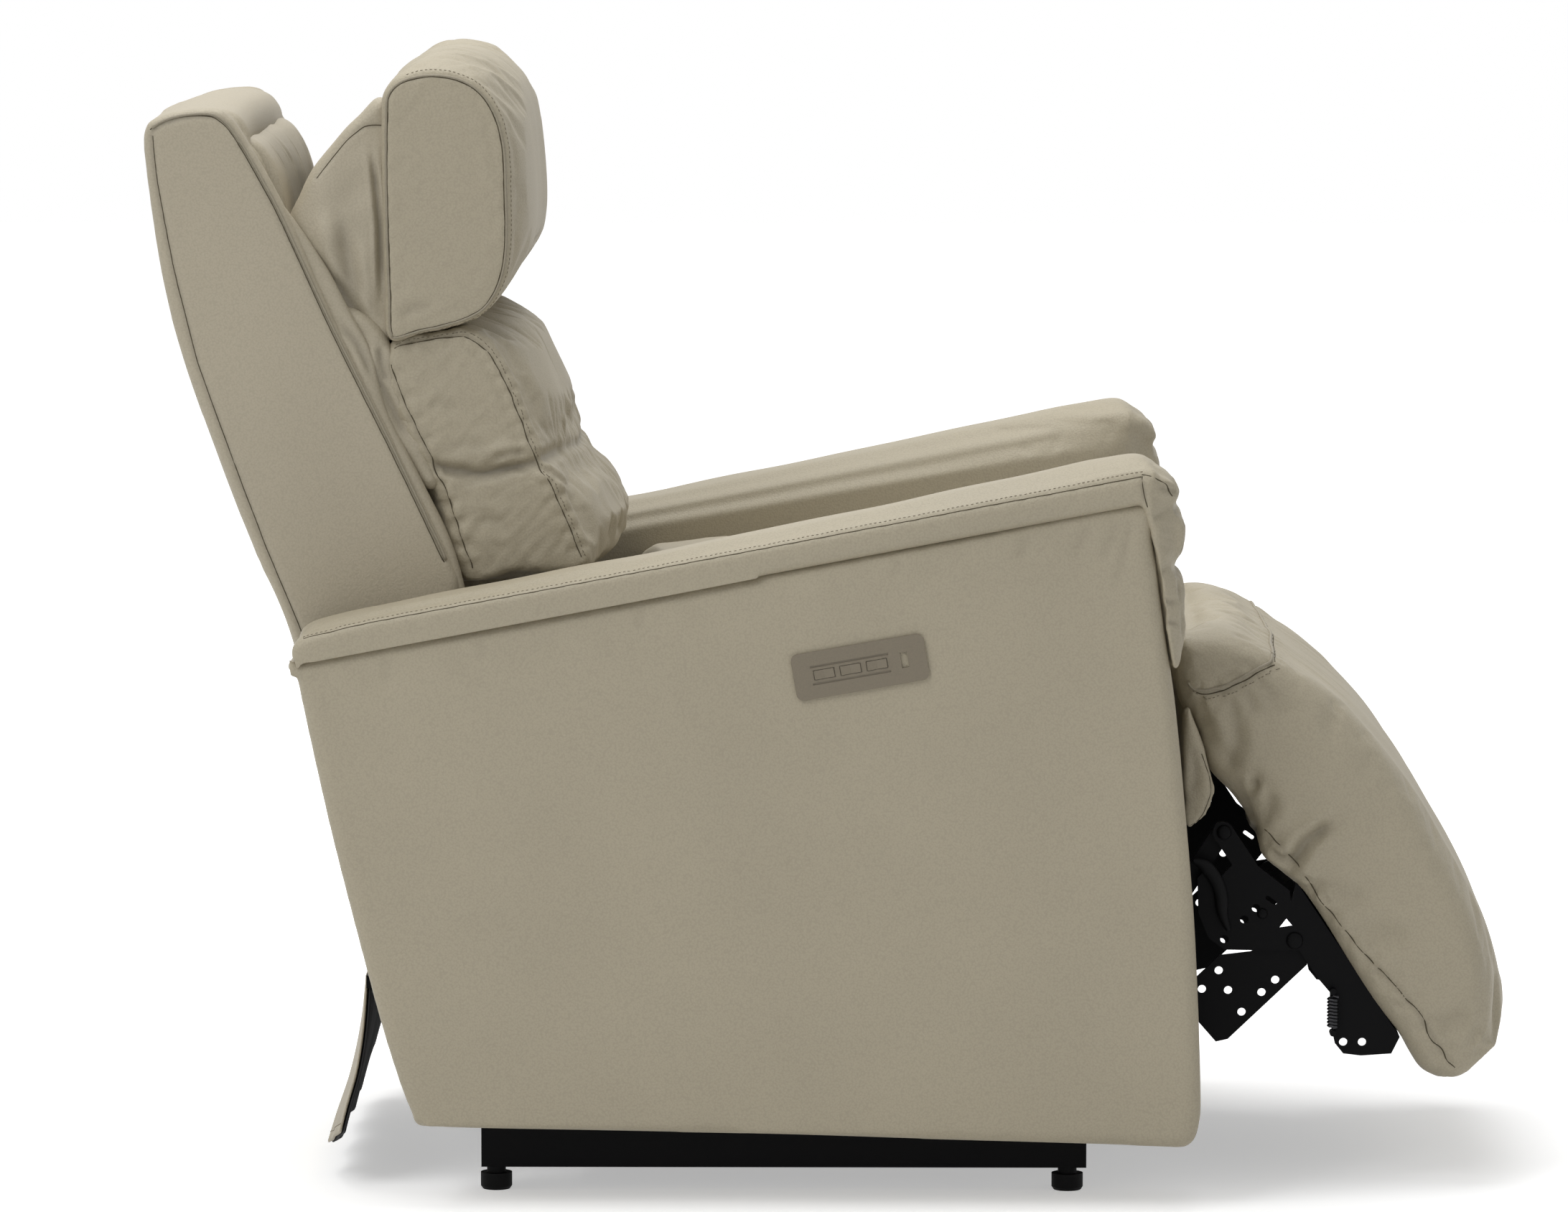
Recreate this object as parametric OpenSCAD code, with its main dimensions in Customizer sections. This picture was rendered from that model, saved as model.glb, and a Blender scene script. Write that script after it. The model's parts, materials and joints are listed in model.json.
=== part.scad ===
// Power recliner in leather: padded arms, powered back, head and foot.
// Millimetres. Z is up, X points to the front, plus Y is the sitter's left.
// The origin is on the floor, in the middle of the overall box.

/* [Overall] */
// width over both arm pads
overall_width = 790; // [740:1:860]
// width of one arm
arm_width = 115; // [100:1:135]
// how far the arm side stands inside its pad
arm_side_inset = 5; // [4:0.5:10]
// smoothness of round parts
round_steps = 48; // [24:4:96]

/* [Arms] */
// rear end of the arm top
arm_rear_x = -505; // [-530:1:-480]
// front end of the arm side at its top
arm_nose_x = 290; // [275:1:300]
// height of the arm side at its rear end
arm_rear_z = 515; // [500:1:530]
// rise of the arm top per millimetre of length
arm_slope = 0.1887; // [0.15:0.001:0.22]
// thickness of the arm pad
arm_pad_depth = 31; // [26:1:36]
// crown of the arm pad in its middle
arm_pad_crown = 8; // [2:1:12]
// thickness of the upholstered outer side
arm_outer_wall = 18; // [14:1:24]
// thickness of the upholstered inner side
arm_inner_wall = 6; // [4:1:8]
// thickness of the boards inside the arm
arm_board = 18; // [14:1:22]

/* [Switch panel] */
// length of the switch plate
panel_length = 126; // [120:1:132]
// height of the switch plate
panel_height = 44; // [40:1:50]
// thickness of the switch plate
panel_thick = 2.5; // [2:0.5:4]
// corner radius of the switch plate
panel_corner = 7; // [4:1:9]
// middle of the plate along X
panel_x = 24; // [10:1:40]
// middle of the plate above the floor
panel_z = 514; // [505:1:520]
// tilt of the plate, front end up
panel_tilt = 10; // [8:1:12]
// length of one switch opening
key_length = 20; // [18:0.5:22]
// height of one switch opening
key_height = 9.2; // [8:0.2:10]
// distance between neighbouring switches
key_pitch = 25; // [24:0.5:27]
// play of a switch key all round in its opening
key_play = 0.4; // [0.3:0.05:0.6]

/* [Base] */
// height of the plastic glides
glide_height = 22; // [18:1:28]
// diameter of a glide
glide_diameter = 30; // [26:1:36]
// rear glide centre along X
rear_glide_x = -323; // [-330:1:-310]
// front glide centre along X
front_glide_x = 222; // [210:1:226]
// rail width across Y
rail_width = 20; // [18:1:24]
// rail height
rail_height = 58; // [56:1:62]
// rear end of the rails
rail_rear_x = -337; // [-345:1:-337]
// front end of the rails
rail_front_x = 240; // [238:1:250]

/* [Seat] */
// gap between the seat cushion and an arm
seat_side_gap = 3; // [2:0.5:6]
// front face of the seat cushion
seat_front_x = 306; // [295:1:307]
// rear face of the seat cushion
seat_rear_x = -205; // [-212:1:-195]
// top of the seat cushion at its front
seat_top_z = 588; // [575:1:592]
// underside of the seat cushion
seat_under_z = 393; // [391:1:396]
// space between a mechanism plate and the arm beside it
plate_space = 60; // [58:1:64]
// thickness of the steel plates and links
steel = 4; // [3:0.5:4.5]
// side play between neighbouring links
link_gap = 2; // [1.5:0.25:2.5]

/* [Footrest linkage] */
// crank pivot along X
crank_x = 300; // [298:1:302]
// crank pivot above the floor
crank_z = 142; // [141:1:144]
// crank length
crank_length = 107; // [105:1:108]
// crank angle in the photographed pose
crank_angle = -150.7; // [-152:0.1:-149]
// coupler length
coupler_length = 299; // [297:1:301]
// coupler angle in the photographed pose
coupler_angle = 56.8; // [56:0.1:57.5]
// diameter of the linkage pins
pin_diameter = 8; // [7:0.5:9]
// diameter play of a pin in a moving hole
pin_play = 0.6; // [0.4:0.1:1]
// diameter of the drive tube across the chair
drive_tube = 20; // [18:1:24]

/* [Footrest] */
// space between the footrest pad and the arm beside it
foot_side_gap = 18; // [14:1:24]
// thickness of the board behind the pad
foot_board = 12; // [10:1:15]

/* [Back] */
// back pivot along X
back_pivot_x = -250; // [-254:1:-246]
// back pivot above the floor
back_pivot_z = 330; // [326:1:334]
// space between the back and the arm beside it
back_side_gap = 18; // [14:1:20]
// thickness of the board in the back
back_board = 18; // [14:1:20]
// space between the back cushion and the arm beside it
back_cushion_side_gap = 32; // [28:1:38]

/* [Headrest] */
// head pivot along X
head_pivot_x = -432; // [-435:1:-430]
// head pivot above the floor
head_pivot_z = 842; // [840:1:846]
// space between the headrest and the line of the arm beside it
head_side_gap = 24; // [20:1:32]

/* [Hidden] */
$fn = round_steps;
half = overall_width / 2;
arm_in = half - arm_width;
arm_out = half - arm_side_inset;
frame_out = arm_out - arm_outer_wall;
frame_in = arm_in + arm_inner_wall;
rail_out = arm_in;
rail_in = arm_in - rail_width;
rail_top = glide_height + rail_height;
glide_y = (rail_in + rail_out) / 2;
run_gap = 0.6;
run_top = rail_top + run_gap + 8;
plate_outer = arm_in - plate_space;
plate_in = plate_outer - steel;
foot_half = arm_in - foot_side_gap;
back_half = arm_in - back_side_gap;
back_cushion_half = arm_in - back_cushion_side_gap;
head_half = arm_in - head_side_gap;
layer1 = plate_outer + link_gap;
layer2 = layer1 + steel + link_gap;
layer3 = layer2 + steel + link_gap;
layer4 = layer3 + steel + link_gap;
foot_board_half = layer4 - 28;
crank_a = [crank_x, crank_z];
crank_b = crank_a + crank_length * [cos(crank_angle), sin(crank_angle)];
foot_p = crank_b + coupler_length * [cos(coupler_angle), sin(coupler_angle)];
foot_r = [439, 236];
back_p = [back_pivot_x, back_pivot_z];
head_p = [head_pivot_x, head_pivot_z];
panel_n = [-sin(panel_tilt), cos(panel_tilt)];
panel_u = [cos(panel_tilt), sin(panel_tilt)];
panel_c = [panel_x, panel_z];
leather = [0.58, 0.55, 0.48];
leather_dark = [0.50, 0.47, 0.40];
black = [0.07, 0.07, 0.08];
steel_black = [0.12, 0.12, 0.13];
timber = [0.72, 0.58, 0.40];

// height of the arm top line at a place along X
function arm_top(x) = arm_rear_z + (x - arm_rear_x) * arm_slope;

// point on a smooth curve through four points
function curve(a, b, c, d, t) = 0.5 * (2 * b + (c - a) * t
  + (2 * a - 5 * b + 4 * c - d) * t * t + (3 * b - a - 3 * c + d) * t * t * t);

// closed smooth loop with n points for each given one
function smooth(p, n) = [for (i = [0 : len(p) - 1]) for (k = [0 : n - 1])
  curve(p[(i + len(p) - 1) % len(p)], p[i], p[(i + 1) % len(p)],
        p[(i + 2) % len(p)], k / n)];

// signed area of a loop, plus when it runs anticlockwise
function area2(p) = [for (i = [0 : len(p) - 1]) let (q = p[(i + 1) % len(p)])
  p[i].x * q.y - q.x * p[i].y] * [for (i = [0 : len(p) - 1]) 1];
function flip(p) = [for (i = [len(p) - 1 : -1 : 0]) p[i]];

// unit step into the loop at point i
function into(p, i) = let (t = p[(i + 1) % len(p)] - p[(i + len(p) - 1) % len(p)],
  n = max(norm(t), 0.001)) [-t.y / n, t.x / n];

// extrude a flat shape drawn in X and Z from y0 to y1
module across(y0, y1) {
  translate([0, y1, 0]) rotate([90, 0, 0]) linear_extrude(height = y1 - y0) children();
}

// bar with round ends between two points
module bar(a, b, r) {
  d = b - a;
  n = [-d.y, d.x] * r / norm(d);
  translate(a) circle(r = r);
  translate(b) circle(r = r);
  polygon([a + n, a - n, b - n, b + n]);
}

// round pin or hole along Y at a point in X and Z
module pin(p, y0, y1, d) {
  across(y0, y1) translate(p) circle(d = d);
}

// soft body, its loops starting at one tip and with the other tip half way
// round: side loop at both ends, mid loop in the middle, rounded edges
module soft(side, mid, h, r, n, stops) {
  turned = area2(side) < 0;
  s = smooth(turned ? flip(side) : side, n);
  m = smooth(turned ? flip(mid) : mid, n);
  c = len(s);
  edge = [90, 60, 30, 0];
  rows = concat([for (a = edge) [-h + r - r * sin(a), r * (1 - cos(a))]],
    [for (k = stops) [(h - r) * k, 0]],
    [for (a = [0, 30, 60, 90]) [h - r + r * sin(a), r * (1 - cos(a))]]);
  pts = [for (row = rows) for (i = [0 : c - 1])
    let (w = pow(abs(row[0]) / h, 2), q = m[i] + (s[i] - m[i]) * w
      + into(s, i) * row[1]) [q.x, row[0], q.y]];
  last = len(rows) - 1;
  walls = [for (j = [0 : last - 1]) for (i = [0 : c - 1])
    let (k = (i + 1) % c, a = j * c + i, b = j * c + k)
    each [[a, b, b + c], [a, b + c, a + c]]];
  ends = [for (k = [0 : c / 2 - 2]) let (a = k, b = k + 1, e = c - 1 - k, g = c - 2 - k)
    each [[a, e, b], [b, e, g], [a, b, e] + last * c * [1, 1, 1], [b, g, e] + last * c * [1, 1, 1]]];
  polyhedron(points = pts, faces = concat(walls, ends));
}

// base frame and glides
module rail_at(s) color(steel_black) mirror([0, s, 0])
  across(rail_in, rail_out) polygon([[rail_rear_x, glide_height], [rail_front_x, glide_height],
    [rail_front_x, rail_top], [rail_rear_x, rail_top]]);
module base_rail_right() rail_at(1);
module base_rail_left() rail_at(0);

// square tube across the base at a place along X
module cross_tube(x) color(steel_black)
  across(-rail_in, rail_in) translate([x, glide_height + 18]) difference() {
    square(20, center = true);
    square(16, center = true);
  }
module front_cross_tube() cross_tube(150);
module rear_cross_tube() cross_tube(-230);

// plastic glide with a wide foot and a narrower neck
module glide(x, s) color(black) translate([x, s * glide_y, 0]) {
  cylinder(h = 3, d1 = glide_diameter - 4, d2 = glide_diameter);
  translate([0, 0, 3]) cylinder(h = glide_height - 9, d = glide_diameter);
  translate([0, 0, glide_height - 6]) cylinder(h = 6, d = glide_diameter - 12);
}
module glide_front_right() glide(front_glide_x, -1);
module glide_front_left() glide(front_glide_x, 1);
module glide_rear_right() glide(rear_glide_x, -1);
module glide_rear_left() glide(rear_glide_x, 1);

// arms, drawn on the left and mirrored
arm_side = [[arm_rear_x, arm_top(arm_rear_x)], [-503, 500], [-486, 418], [-466, 330],
  [-430, 189], [-412, 128], [-402, 100], [-395, 86], [-382, 77], [-47, 70], [167, 63.5],
  [306, 59], [329, 58], [339, 65], [343, 79], [345, 109], [339, 257],
  [330, 368], [319, 479], [307, 560], [297, 633], [arm_nose_x, arm_top(arm_nose_x)]];
arm_core = [[-480, arm_top(-480)], [-478, 490], [-446, 345], [-406, 190], [-382, 110],
  [-370, 95], [160, 85], [325, 76], [327, 109], [321, 257], [301, 479], [280, 620],
  [274, arm_top(274)]];
arm_pocket = [[-440, 470], [-405, 340], [-355, 140], [150, 130], [290, 122],
  [283, 257], [262, 479], [248, 608], [240, 620]];

module arm_frame_body() color(timber) difference() {
  across(frame_in, frame_out) polygon(arm_core);
  across(frame_in + arm_board, frame_out + 1) polygon(arm_pocket);
  across(frame_in - 1, frame_out + 1) translate([40, 330]) circle(d = 60);
}
module arm_frame_right() mirror([0, 1, 0]) arm_frame_body();
module arm_frame_left() arm_frame_body();

// leather covered shell round the arm boards, closed above by the arm pad
module arm_cover_body(window) color(leather) difference() {
  across(arm_in, arm_out) polygon(arm_side);
  across(frame_in, frame_out) polygon(arm_core);
  if (window) across(frame_out - 1, arm_out + 1) translate(panel_c) rotate(panel_tilt)
    square([panel_length - 10, panel_height - 8], center = true);
}
module arm_cover_right() mirror([0, 1, 0]) arm_cover_body(true);
module arm_cover_left() arm_cover_body(false);

// padded arm top that wraps down over the arm front
module arm_pad_body() color(leather) {
  low = [for (x = [arm_rear_x + 25, -340, -193, -47, 99, 200]) [x, arm_top(x) + 0.05]];
  under = concat([[arm_rear_x - 4, arm_top(arm_rear_x) + 12], [arm_rear_x + 1, arm_top(arm_rear_x) + 1]],
    low, [[290.4, 665.4], [294.2, 650], [297.6, 633.5], [302.5, 600], [308.3, 556], [314.8, 514],
    [319, 510], [325.5, 519], [327.5, 548], [323, 595], [325, 640], [322, 676], [308, 694]]);
  high = [for (x = [285, 170, 20, -130, -280, -430]) [x, arm_top(x) + arm_pad_depth]];
  crown = [for (p = high) [p.x, p.y + arm_pad_crown]];
  translate([0, half - arm_width / 2, 0])
    soft(concat(under, high, [[arm_rear_x + 8, arm_top(arm_rear_x) + 27]]),
      concat(under, crown, [[arm_rear_x + 8, arm_top(arm_rear_x) + 30]]),
      arm_width / 2, 7, 1, [-0.5, 0, 0.5]);
}
module arm_pad_right() mirror([0, 1, 0]) arm_pad_body();
module arm_pad_left() arm_pad_body();

// switch panel on the right arm
module on_panel(y0, y1) mirror([0, 1, 0]) across(y0, y1) translate(panel_c)
  rotate(panel_tilt) children();

// rectangle with round corners made of circles and bars
module plate2d(l, h, r) {
  square([l - 2 * r, h], center = true);
  square([l, h - 2 * r], center = true);
  for (x = [-1, 1]) for (z = [-1, 1]) translate([x * (l / 2 - r), z * (h / 2 - r)])
    circle(r = r);
}
key_x = [-34, -34 + key_pitch, -34 + 2 * key_pitch];
usb_x = 42;
usb_wide = 6.7;
usb_tall = 14.7;
module switch_plate() color([0.45, 0.42, 0.36]) difference() {
  on_panel(arm_out, arm_out + panel_thick) plate2d(panel_length, panel_height, panel_corner);
  on_panel(arm_out - 1, arm_out + panel_thick + 1) {
    for (x = key_x) translate([x, 0]) square([key_length, key_height], center = true);
    translate([usb_x, 0]) square([usb_wide, usb_tall], center = true);
  }
  for (z = [-8.2, 8.2]) on_panel(arm_out + panel_thick - 1, arm_out + panel_thick + 1)
    translate([key_x[1], z]) square([74, 2], center = true);
}
module switch_box() color(black) difference() {
  on_panel(arm_out - 34, arm_out) square([panel_length - 12, panel_height - 10], center = true);
  for (x = key_x) on_panel(arm_out - 16, arm_out + 1) translate([x, 0])
    square([key_length, key_height + 4], center = true);
  on_panel(arm_out - 16, arm_out + 1) translate([usb_x, 0])
    square([usb_wide + 3, usb_tall + 3], center = true);
}
module usb_port() color([0.75, 0.75, 0.77]) difference() {
  on_panel(arm_out - 16, arm_out) translate([usb_x, 0])
    square([usb_wide + 3, usb_tall + 3], center = true);
  on_panel(arm_out - 13, arm_out + 1) translate([usb_x, 0])
    square([usb_wide, usb_tall], center = true);
  }

// rocking key with a hollowed face, turning on a round pin inside the switch box
module key(x) color(black) {
  w = key_height - 2 * key_play;
  l = key_length - 3 * key_play;
  translate([panel_x, 0, panel_z]) rotate([0, -panel_tilt, 0]) translate([x, 0, -w / 2])
{
      linear_extrude(height = w) polygon([[-l / 2, -arm_out - panel_thick - 1.2],
        [0, -arm_out - panel_thick - 0.2], [l / 2, -arm_out - panel_thick - 1.2],
        [l / 2 - 0.6, -arm_out + 2], [4, -arm_out + 9], [-4, -arm_out + 9],
        [-l / 2 + 0.6, -arm_out + 2]]);
      translate([0, -arm_out + 4, -1.8]) cylinder(h = w + 3.6, d = 3);
    }
}
module switch_foot() key(key_x[0]);
module switch_back() key(key_x[1]);
module switch_head() key(key_x[2]);

// power supply and rear skirt on the base
module power_supply() color(black) difference() {
  translate([-220, -60, 16]) cube([157, 120, 56]);
  translate([-221, 0, 62]) rotate([0, 90, 0]) cylinder(h = 19, d = 14);
}
module power_inlet() color([0.2, 0.2, 0.22]) translate([-226, 0, 62]) rotate([0, 90, 0])
  difference() {
    union() {
      cylinder(h = 24, d = 14);
      cylinder(h = 6, d = 18);
    }
    translate([0, 0, -1]) cylinder(h = 14, d = 5.7);
  }
module skirt_rail() color(steel_black) {
  across(-arm_in, arm_in) polygon([[-446, 194], [-438, 194], [-438, 206], [-446, 206]]);
  for (s = [0, 1]) mirror([0, s, 0]) across(arm_in - 6, arm_in)
    polygon([[-440, 194], [-385, 194], [-385, 206], [-440, 206]]);
}
module rear_skirt() color(leather_dark) across(-arm_in + 4, arm_in - 4)
  polygon([[-446, 206], [-451, 190], [-459, 130], [-478, 60], [-488, 28], [-483, 26],
    [-473, 58], [-454, 128], [-446, 190]]);

// seat carriage that slides on the rails
plate_side = [[-300, run_top], [130, run_top], [160, 112], [320, 112], [329, 122], [329, 385],
  [-215, 385], [-262, 356], [-276, 330], [-262, 306], [-270, 200], [-300, 120]];
module mech_plate_body() color(steel_black) difference() {
  across(plate_in, plate_outer) polygon(plate_side);
  pin(crank_a, plate_in - 1, plate_outer + 1, drive_tube + 1);
  pin(back_p, plate_in - 1, plate_outer + 1, pin_diameter + 2);
}
module mech_plate_right() mirror([0, 1, 0]) mech_plate_body();
module mech_plate_left() mech_plate_body();

// flat bar under each plate that slides on the base rail
module runner_body() color(steel_black) {
  across(plate_in, rail_out - 3) polygon([[-300, run_top - 8], [130, run_top - 8],
    [130, run_top], [-300, run_top]]);
}
module runner_right() mirror([0, 1, 0]) runner_body();
module runner_left() runner_body();

module seat_front_rail() color(steel_black) across(-plate_in, plate_in)
  polygon([[290, 345], [330, 345], [330, 385], [290, 385]]);
module seat_rear_rail() color(steel_black) across(-plate_in, plate_in)
  polygon([[-215, 345], [-185, 345], [-185, 385], [-215, 385]]);

// zigzag wire springs from the rear rail to the front rail
module seat_springs() color([0.35, 0.36, 0.38]) {
  wire = seat_under_z - 385 - 1.5;
  for (k = [-2 : 2]) translate([0, k * plate_in * 0.37, 385]) {
    translate([-205, -wire / 2, 0]) cube([25, wire, wire]);
    translate([290, -wire / 2, 0]) cube([25, wire, wire]);
    for (i = [0 : 9]) translate([-180 + 47 * i, 0, 0]) {
      s = i % 2 == 0 ? 1 : -1;
      translate([23.5, 0, 0]) linear_extrude(height = wire) difference() {
        circle(r = 23.5 + wire / 2);
        circle(r = 23.5 - wire / 2);
        translate([0, -s * 50]) square([120, 100], center = true);
      }
    }
  }
}
module seat_cushion() color(leather) {
  f = seat_front_x;
  r = seat_rear_x;
  u = seat_under_z;
  t = seat_top_z;
  soft([[r, u + 8], [r + 10, u], [0, u], [f - 10, u], [f, u + 12], [f, 470], [f, 540],
      [f - 6, t - 18], [f - 30, t - 6], [180, t - 4], [60, t - 6], [-60, t - 10],
      [-165, t - 18], [r + 2, t - 30], [r, 500]],
    [[r, u + 8], [r + 10, u], [0, u], [f - 10, u], [f, u + 12], [f, 470], [f, 540],
      [f - 6, t - 12], [f - 30, t], [180, t + 8], [60, t + 6], [-60, t - 2],
      [-165, t - 16], [r + 2, t - 30], [r, 500]],
    arm_in - seat_side_gap, 16, 2, [-0.75, -0.4, 0, 0.4, 0.75]);
}
module front_apron() color(leather) soft(
  [[331.4, 357], [344, 358], [351, 364], [357, 380], [356, 396], [348, 414],
    [342, 432], [335, 452], [331.4, 458], [330.8, 408]],
  [[331.4, 357], [346, 358], [353, 364], [359, 380], [357, 396], [349, 414],
    [342, 432], [335, 452], [331.4, 458], [330.8, 408]],
  arm_in - 10, 6, 2, [0]);

// gear motor round the drive tube, hung from the front rail
module foot_motor() color(black) difference() {
  union() {
    translate([crank_x - 26, -30, crank_z - 24]) cube([52, 46, 56]);
    translate([crank_x - 150, -7, crank_z + 10]) rotate([0, 90, 0]) cylinder(h = 124.5, d = 42);
    translate([crank_x - 5, -30, crank_z + 31]) cube([6, 46, 345 - crank_z - 31]);
  }
  pin(crank_a, -31, 17, drive_tube + 1);
}
// gear motor on the rear rail that drives the back through the left plate
module back_motor() color(black) difference() {
  union() {
    translate([back_pivot_x - 26, plate_in - 66, back_pivot_z - 30]) cube([61, 66, 60]);
    translate([back_pivot_x + 4, plate_in - 65.5, back_pivot_z]) rotate([90, 0, 0])
      cylinder(h = 130, d = 46);
  }
  pin(back_p, plate_in - 26, plate_in + 1, pin_diameter + 6);
}

// footrest linkage on both sides
module drive_shaft() color([0.45, 0.46, 0.48]) pin(crank_a, -layer1, layer1, drive_tube);
module crank_body() color(steel_black) {
  difference() {
    across(layer1, layer1 + steel) bar(crank_a, crank_b, 12);
    pin(crank_b, layer1 - 1, layer2, pin_diameter + pin_play);
  }
}
module crank_right() mirror([0, 1, 0]) crank_body();
module crank_left() crank_body();

// coupler plate that carries the lower pin
module coupler_body() color(steel_black) {
  difference() {
    across(layer2, layer2 + steel) bar(crank_b, foot_p, 9);
    pin(foot_p, layer2 - 1, layer3, pin_diameter + pin_play);
  }
  pin(crank_b, layer1 - 1, layer2, pin_diameter);
}
module coupler_right() mirror([0, 1, 0]) coupler_body();
module coupler_left() coupler_body();

// pierced stay plate behind the pad, turning on the bracket; its outline is
// given along the plate and across it
stay_angle = 223.6;
stay_d = [cos(stay_angle), sin(stay_angle)];
stay_n = [sin(stay_angle), -cos(stay_angle)];
stay_edge = [[0, 13], [38, 20], [62, 38], [104, 38], [120, 28], [122, -20], [112, -26], [8, -26], [-9, -14]];
module stay_body() color(steel_black) difference() {
  across(layer3, layer3 + steel) {
    polygon([for (k = stay_edge) foot_r + k[0] * stay_d + k[1] * stay_n]);
    translate(foot_r) circle(r = 13);
  }
  pin(foot_r, layer3 - 1, layer4, pin_diameter + pin_play);
  for (p = [[367, 206], [376, 187], [351, 188], [421, 197], [408, 185], [389, 166]])
    pin(p, layer3 - 1, layer4, 8);
}
module stay_right() mirror([0, 1, 0]) stay_body();
module stay_left() stay_body();

// line of the pad back and its outward step
pad_a = [540, 143];
pad_b = [440, 293];
pad_n = [pad_a.y - pad_b.y, pad_b.x - pad_a.x] / norm(pad_a - pad_b);
module foot_bracket_body() color(steel_black) {
  across(layer4, layer4 + steel) difference() {
    union() {
      polygon([pad_a, pad_b, foot_r + [-10, 10], foot_r + [6, -12], [461, 200],
        [473, 186], [474, 155], [478, 137], [486, 127], [503, 125], [532, 127]]);
      bar(foot_r, foot_p, 10);
      polygon([[434, 284], [404, 307], [388, 318], [372, 301], [364, 293], [353, 303],
        [346, 296], [347, 262], [357, 238], [372, 227], foot_r + [-6, -10], foot_r]);
    }
    for (p = [[402, 267], [391, 256], [372, 237]]) translate(p) circle(d = 8);
    bar([413, 277], [420, 272], 2);
    polygon([[424, 248], [437, 250], [431, 257]]);
    translate([504, 138]) circle(d = 8);
    translate([486, 138]) circle(d = 8);
  }
  across(foot_board_half, layer4 + 0.5) polygon([pad_a, pad_b, pad_b + 3 * pad_n, pad_a + 3 * pad_n]);
  pin(foot_p, layer2, layer4 + 1, pin_diameter);
  pin(foot_r, layer3, layer4 + 1, pin_diameter);
  pin(peg_top, layer4 + 2, layer4 + 15, peg_d);
  pin(peg_low, layer4 + 2, layer4 + 15, peg_d);
}
module foot_bracket_right() mirror([0, 1, 0]) foot_bracket_body();
module foot_bracket_left() foot_bracket_body();

// tension spring wound as one wire between two pegs of the bracket
spring_turns = 9;
spring_pitch = 3.2;
spring_wire = 2.4;
spring_radius = 4.6;
peg_top = [475.5, 188];
peg_low = [475.5, 148];
peg_d = 6;
spring_rise = spring_turns * spring_pitch;
spring_end = (peg_top.y - peg_low.y - peg_d - spring_rise) / 2 - 1.2;
spring_path = concat(
  [for (k = [[0, -1], [0.25, -0.75], [0.65, -0.35]])
    [k[0] * spring_radius, 0, -spring_rise / 2 + k[1] * spring_end]],
  [for (i = [0 : 8 * spring_turns]) [spring_radius * cos(45 * i), spring_radius * sin(45 * i),
    spring_rise * (i / (8 * spring_turns) - 0.5)]],
  [for (k = [[0.65, 0.35], [0.25, 0.75], [0, 1]])
    [k[0] * spring_radius, 0, spring_rise / 2 + k[1] * spring_end]]);
spring_gap = min([for (i = [0 : len(spring_path) - 1]) for (j = [i + 5 : 1 : len(spring_path) - 1])
  norm(spring_path[i] - spring_path[j])]) - spring_wire;
echo("least gap of the foot spring to itself, mm", spring_gap);

// tube of six sides along a path that winds round Z
module wire(path, r) {
  last = len(path) - 1;
  rings = [for (i = [0 : last]) let (d = path[min(i + 1, last)] - path[max(i - 1, 0)],
    t = d / norm(d), o = i < 3 || i > last - 3 ? [1, 0, 0] : [path[i].x, path[i].y, 0],
    e = o - (o * t) * t, u = e / norm(e), v = cross(t, u))
    for (k = [0 : 5]) path[i] + r * (cos(60 * k) * u + sin(60 * k) * v)];
  walls = [for (j = [0 : last - 1]) for (i = [0 : 5])
    let (k = (i + 1) % 6, a = j * 6 + i, b = j * 6 + k)
    each [[a, b + 6, b], [a, a + 6, b + 6]]];
  ends = [for (i = [1 : 4]) each [[0, i, i + 1], [0, i + 1, i] + last * 6 * [1, 1, 1]]];
  polyhedron(points = rings, faces = concat(walls, ends));
}
module foot_spring_body() color([0.2, 0.2, 0.22])
  translate([peg_top.x, layer4 + 11, (peg_top.y + peg_low.y) / 2]) wire(spring_path, spring_wire / 2);
module foot_spring_right() mirror([0, 1, 0]) foot_spring_body();
module foot_spring_left() foot_spring_body();

module footrest_board() color(timber) across(-foot_board_half, foot_board_half)
  polygon([pad_a, pad_b, pad_b + foot_board * pad_n, pad_a + foot_board * pad_n]);

// footrest pad with the knee part that meets the seat
foot_side = [[326, 528], [348, 532], [372, 528], [396, 520], [420, 507], [447, 487], [475, 461],
  [503, 431], [533, 393], [561, 349], [590, 299], [617, 240], [632, 172], [634, 130], [601, 108],
  [568, 112], pad_a - 0.8 * pad_n, [515.2, 180.6], [465, 255.5], pad_b, [404, 318],
  [400, 346], [384, 376], [362, 406], [347, 449], [328, 474], [324, 500]];
foot_mid = [[326, 535], [349, 540], [375, 536], [400, 528], [424, 515], [452, 495], [480, 468],
  [509, 438], [540, 399], [570, 353], [600, 302], [628, 242], [646, 172], [645, 128], [606, 104],
  [568, 112], pad_a - 0.8 * pad_n, [515.2, 180.6], [465, 255.5], pad_b, [404, 318],
  [400, 346], [384, 376], [362, 406], [347, 449], [328, 474], [324, 500]];
module footrest_pad() color(leather) soft(foot_side, foot_mid, foot_half, 12, 2,
  [-0.7, -0.35, 0, 0.35, 0.7]);

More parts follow.
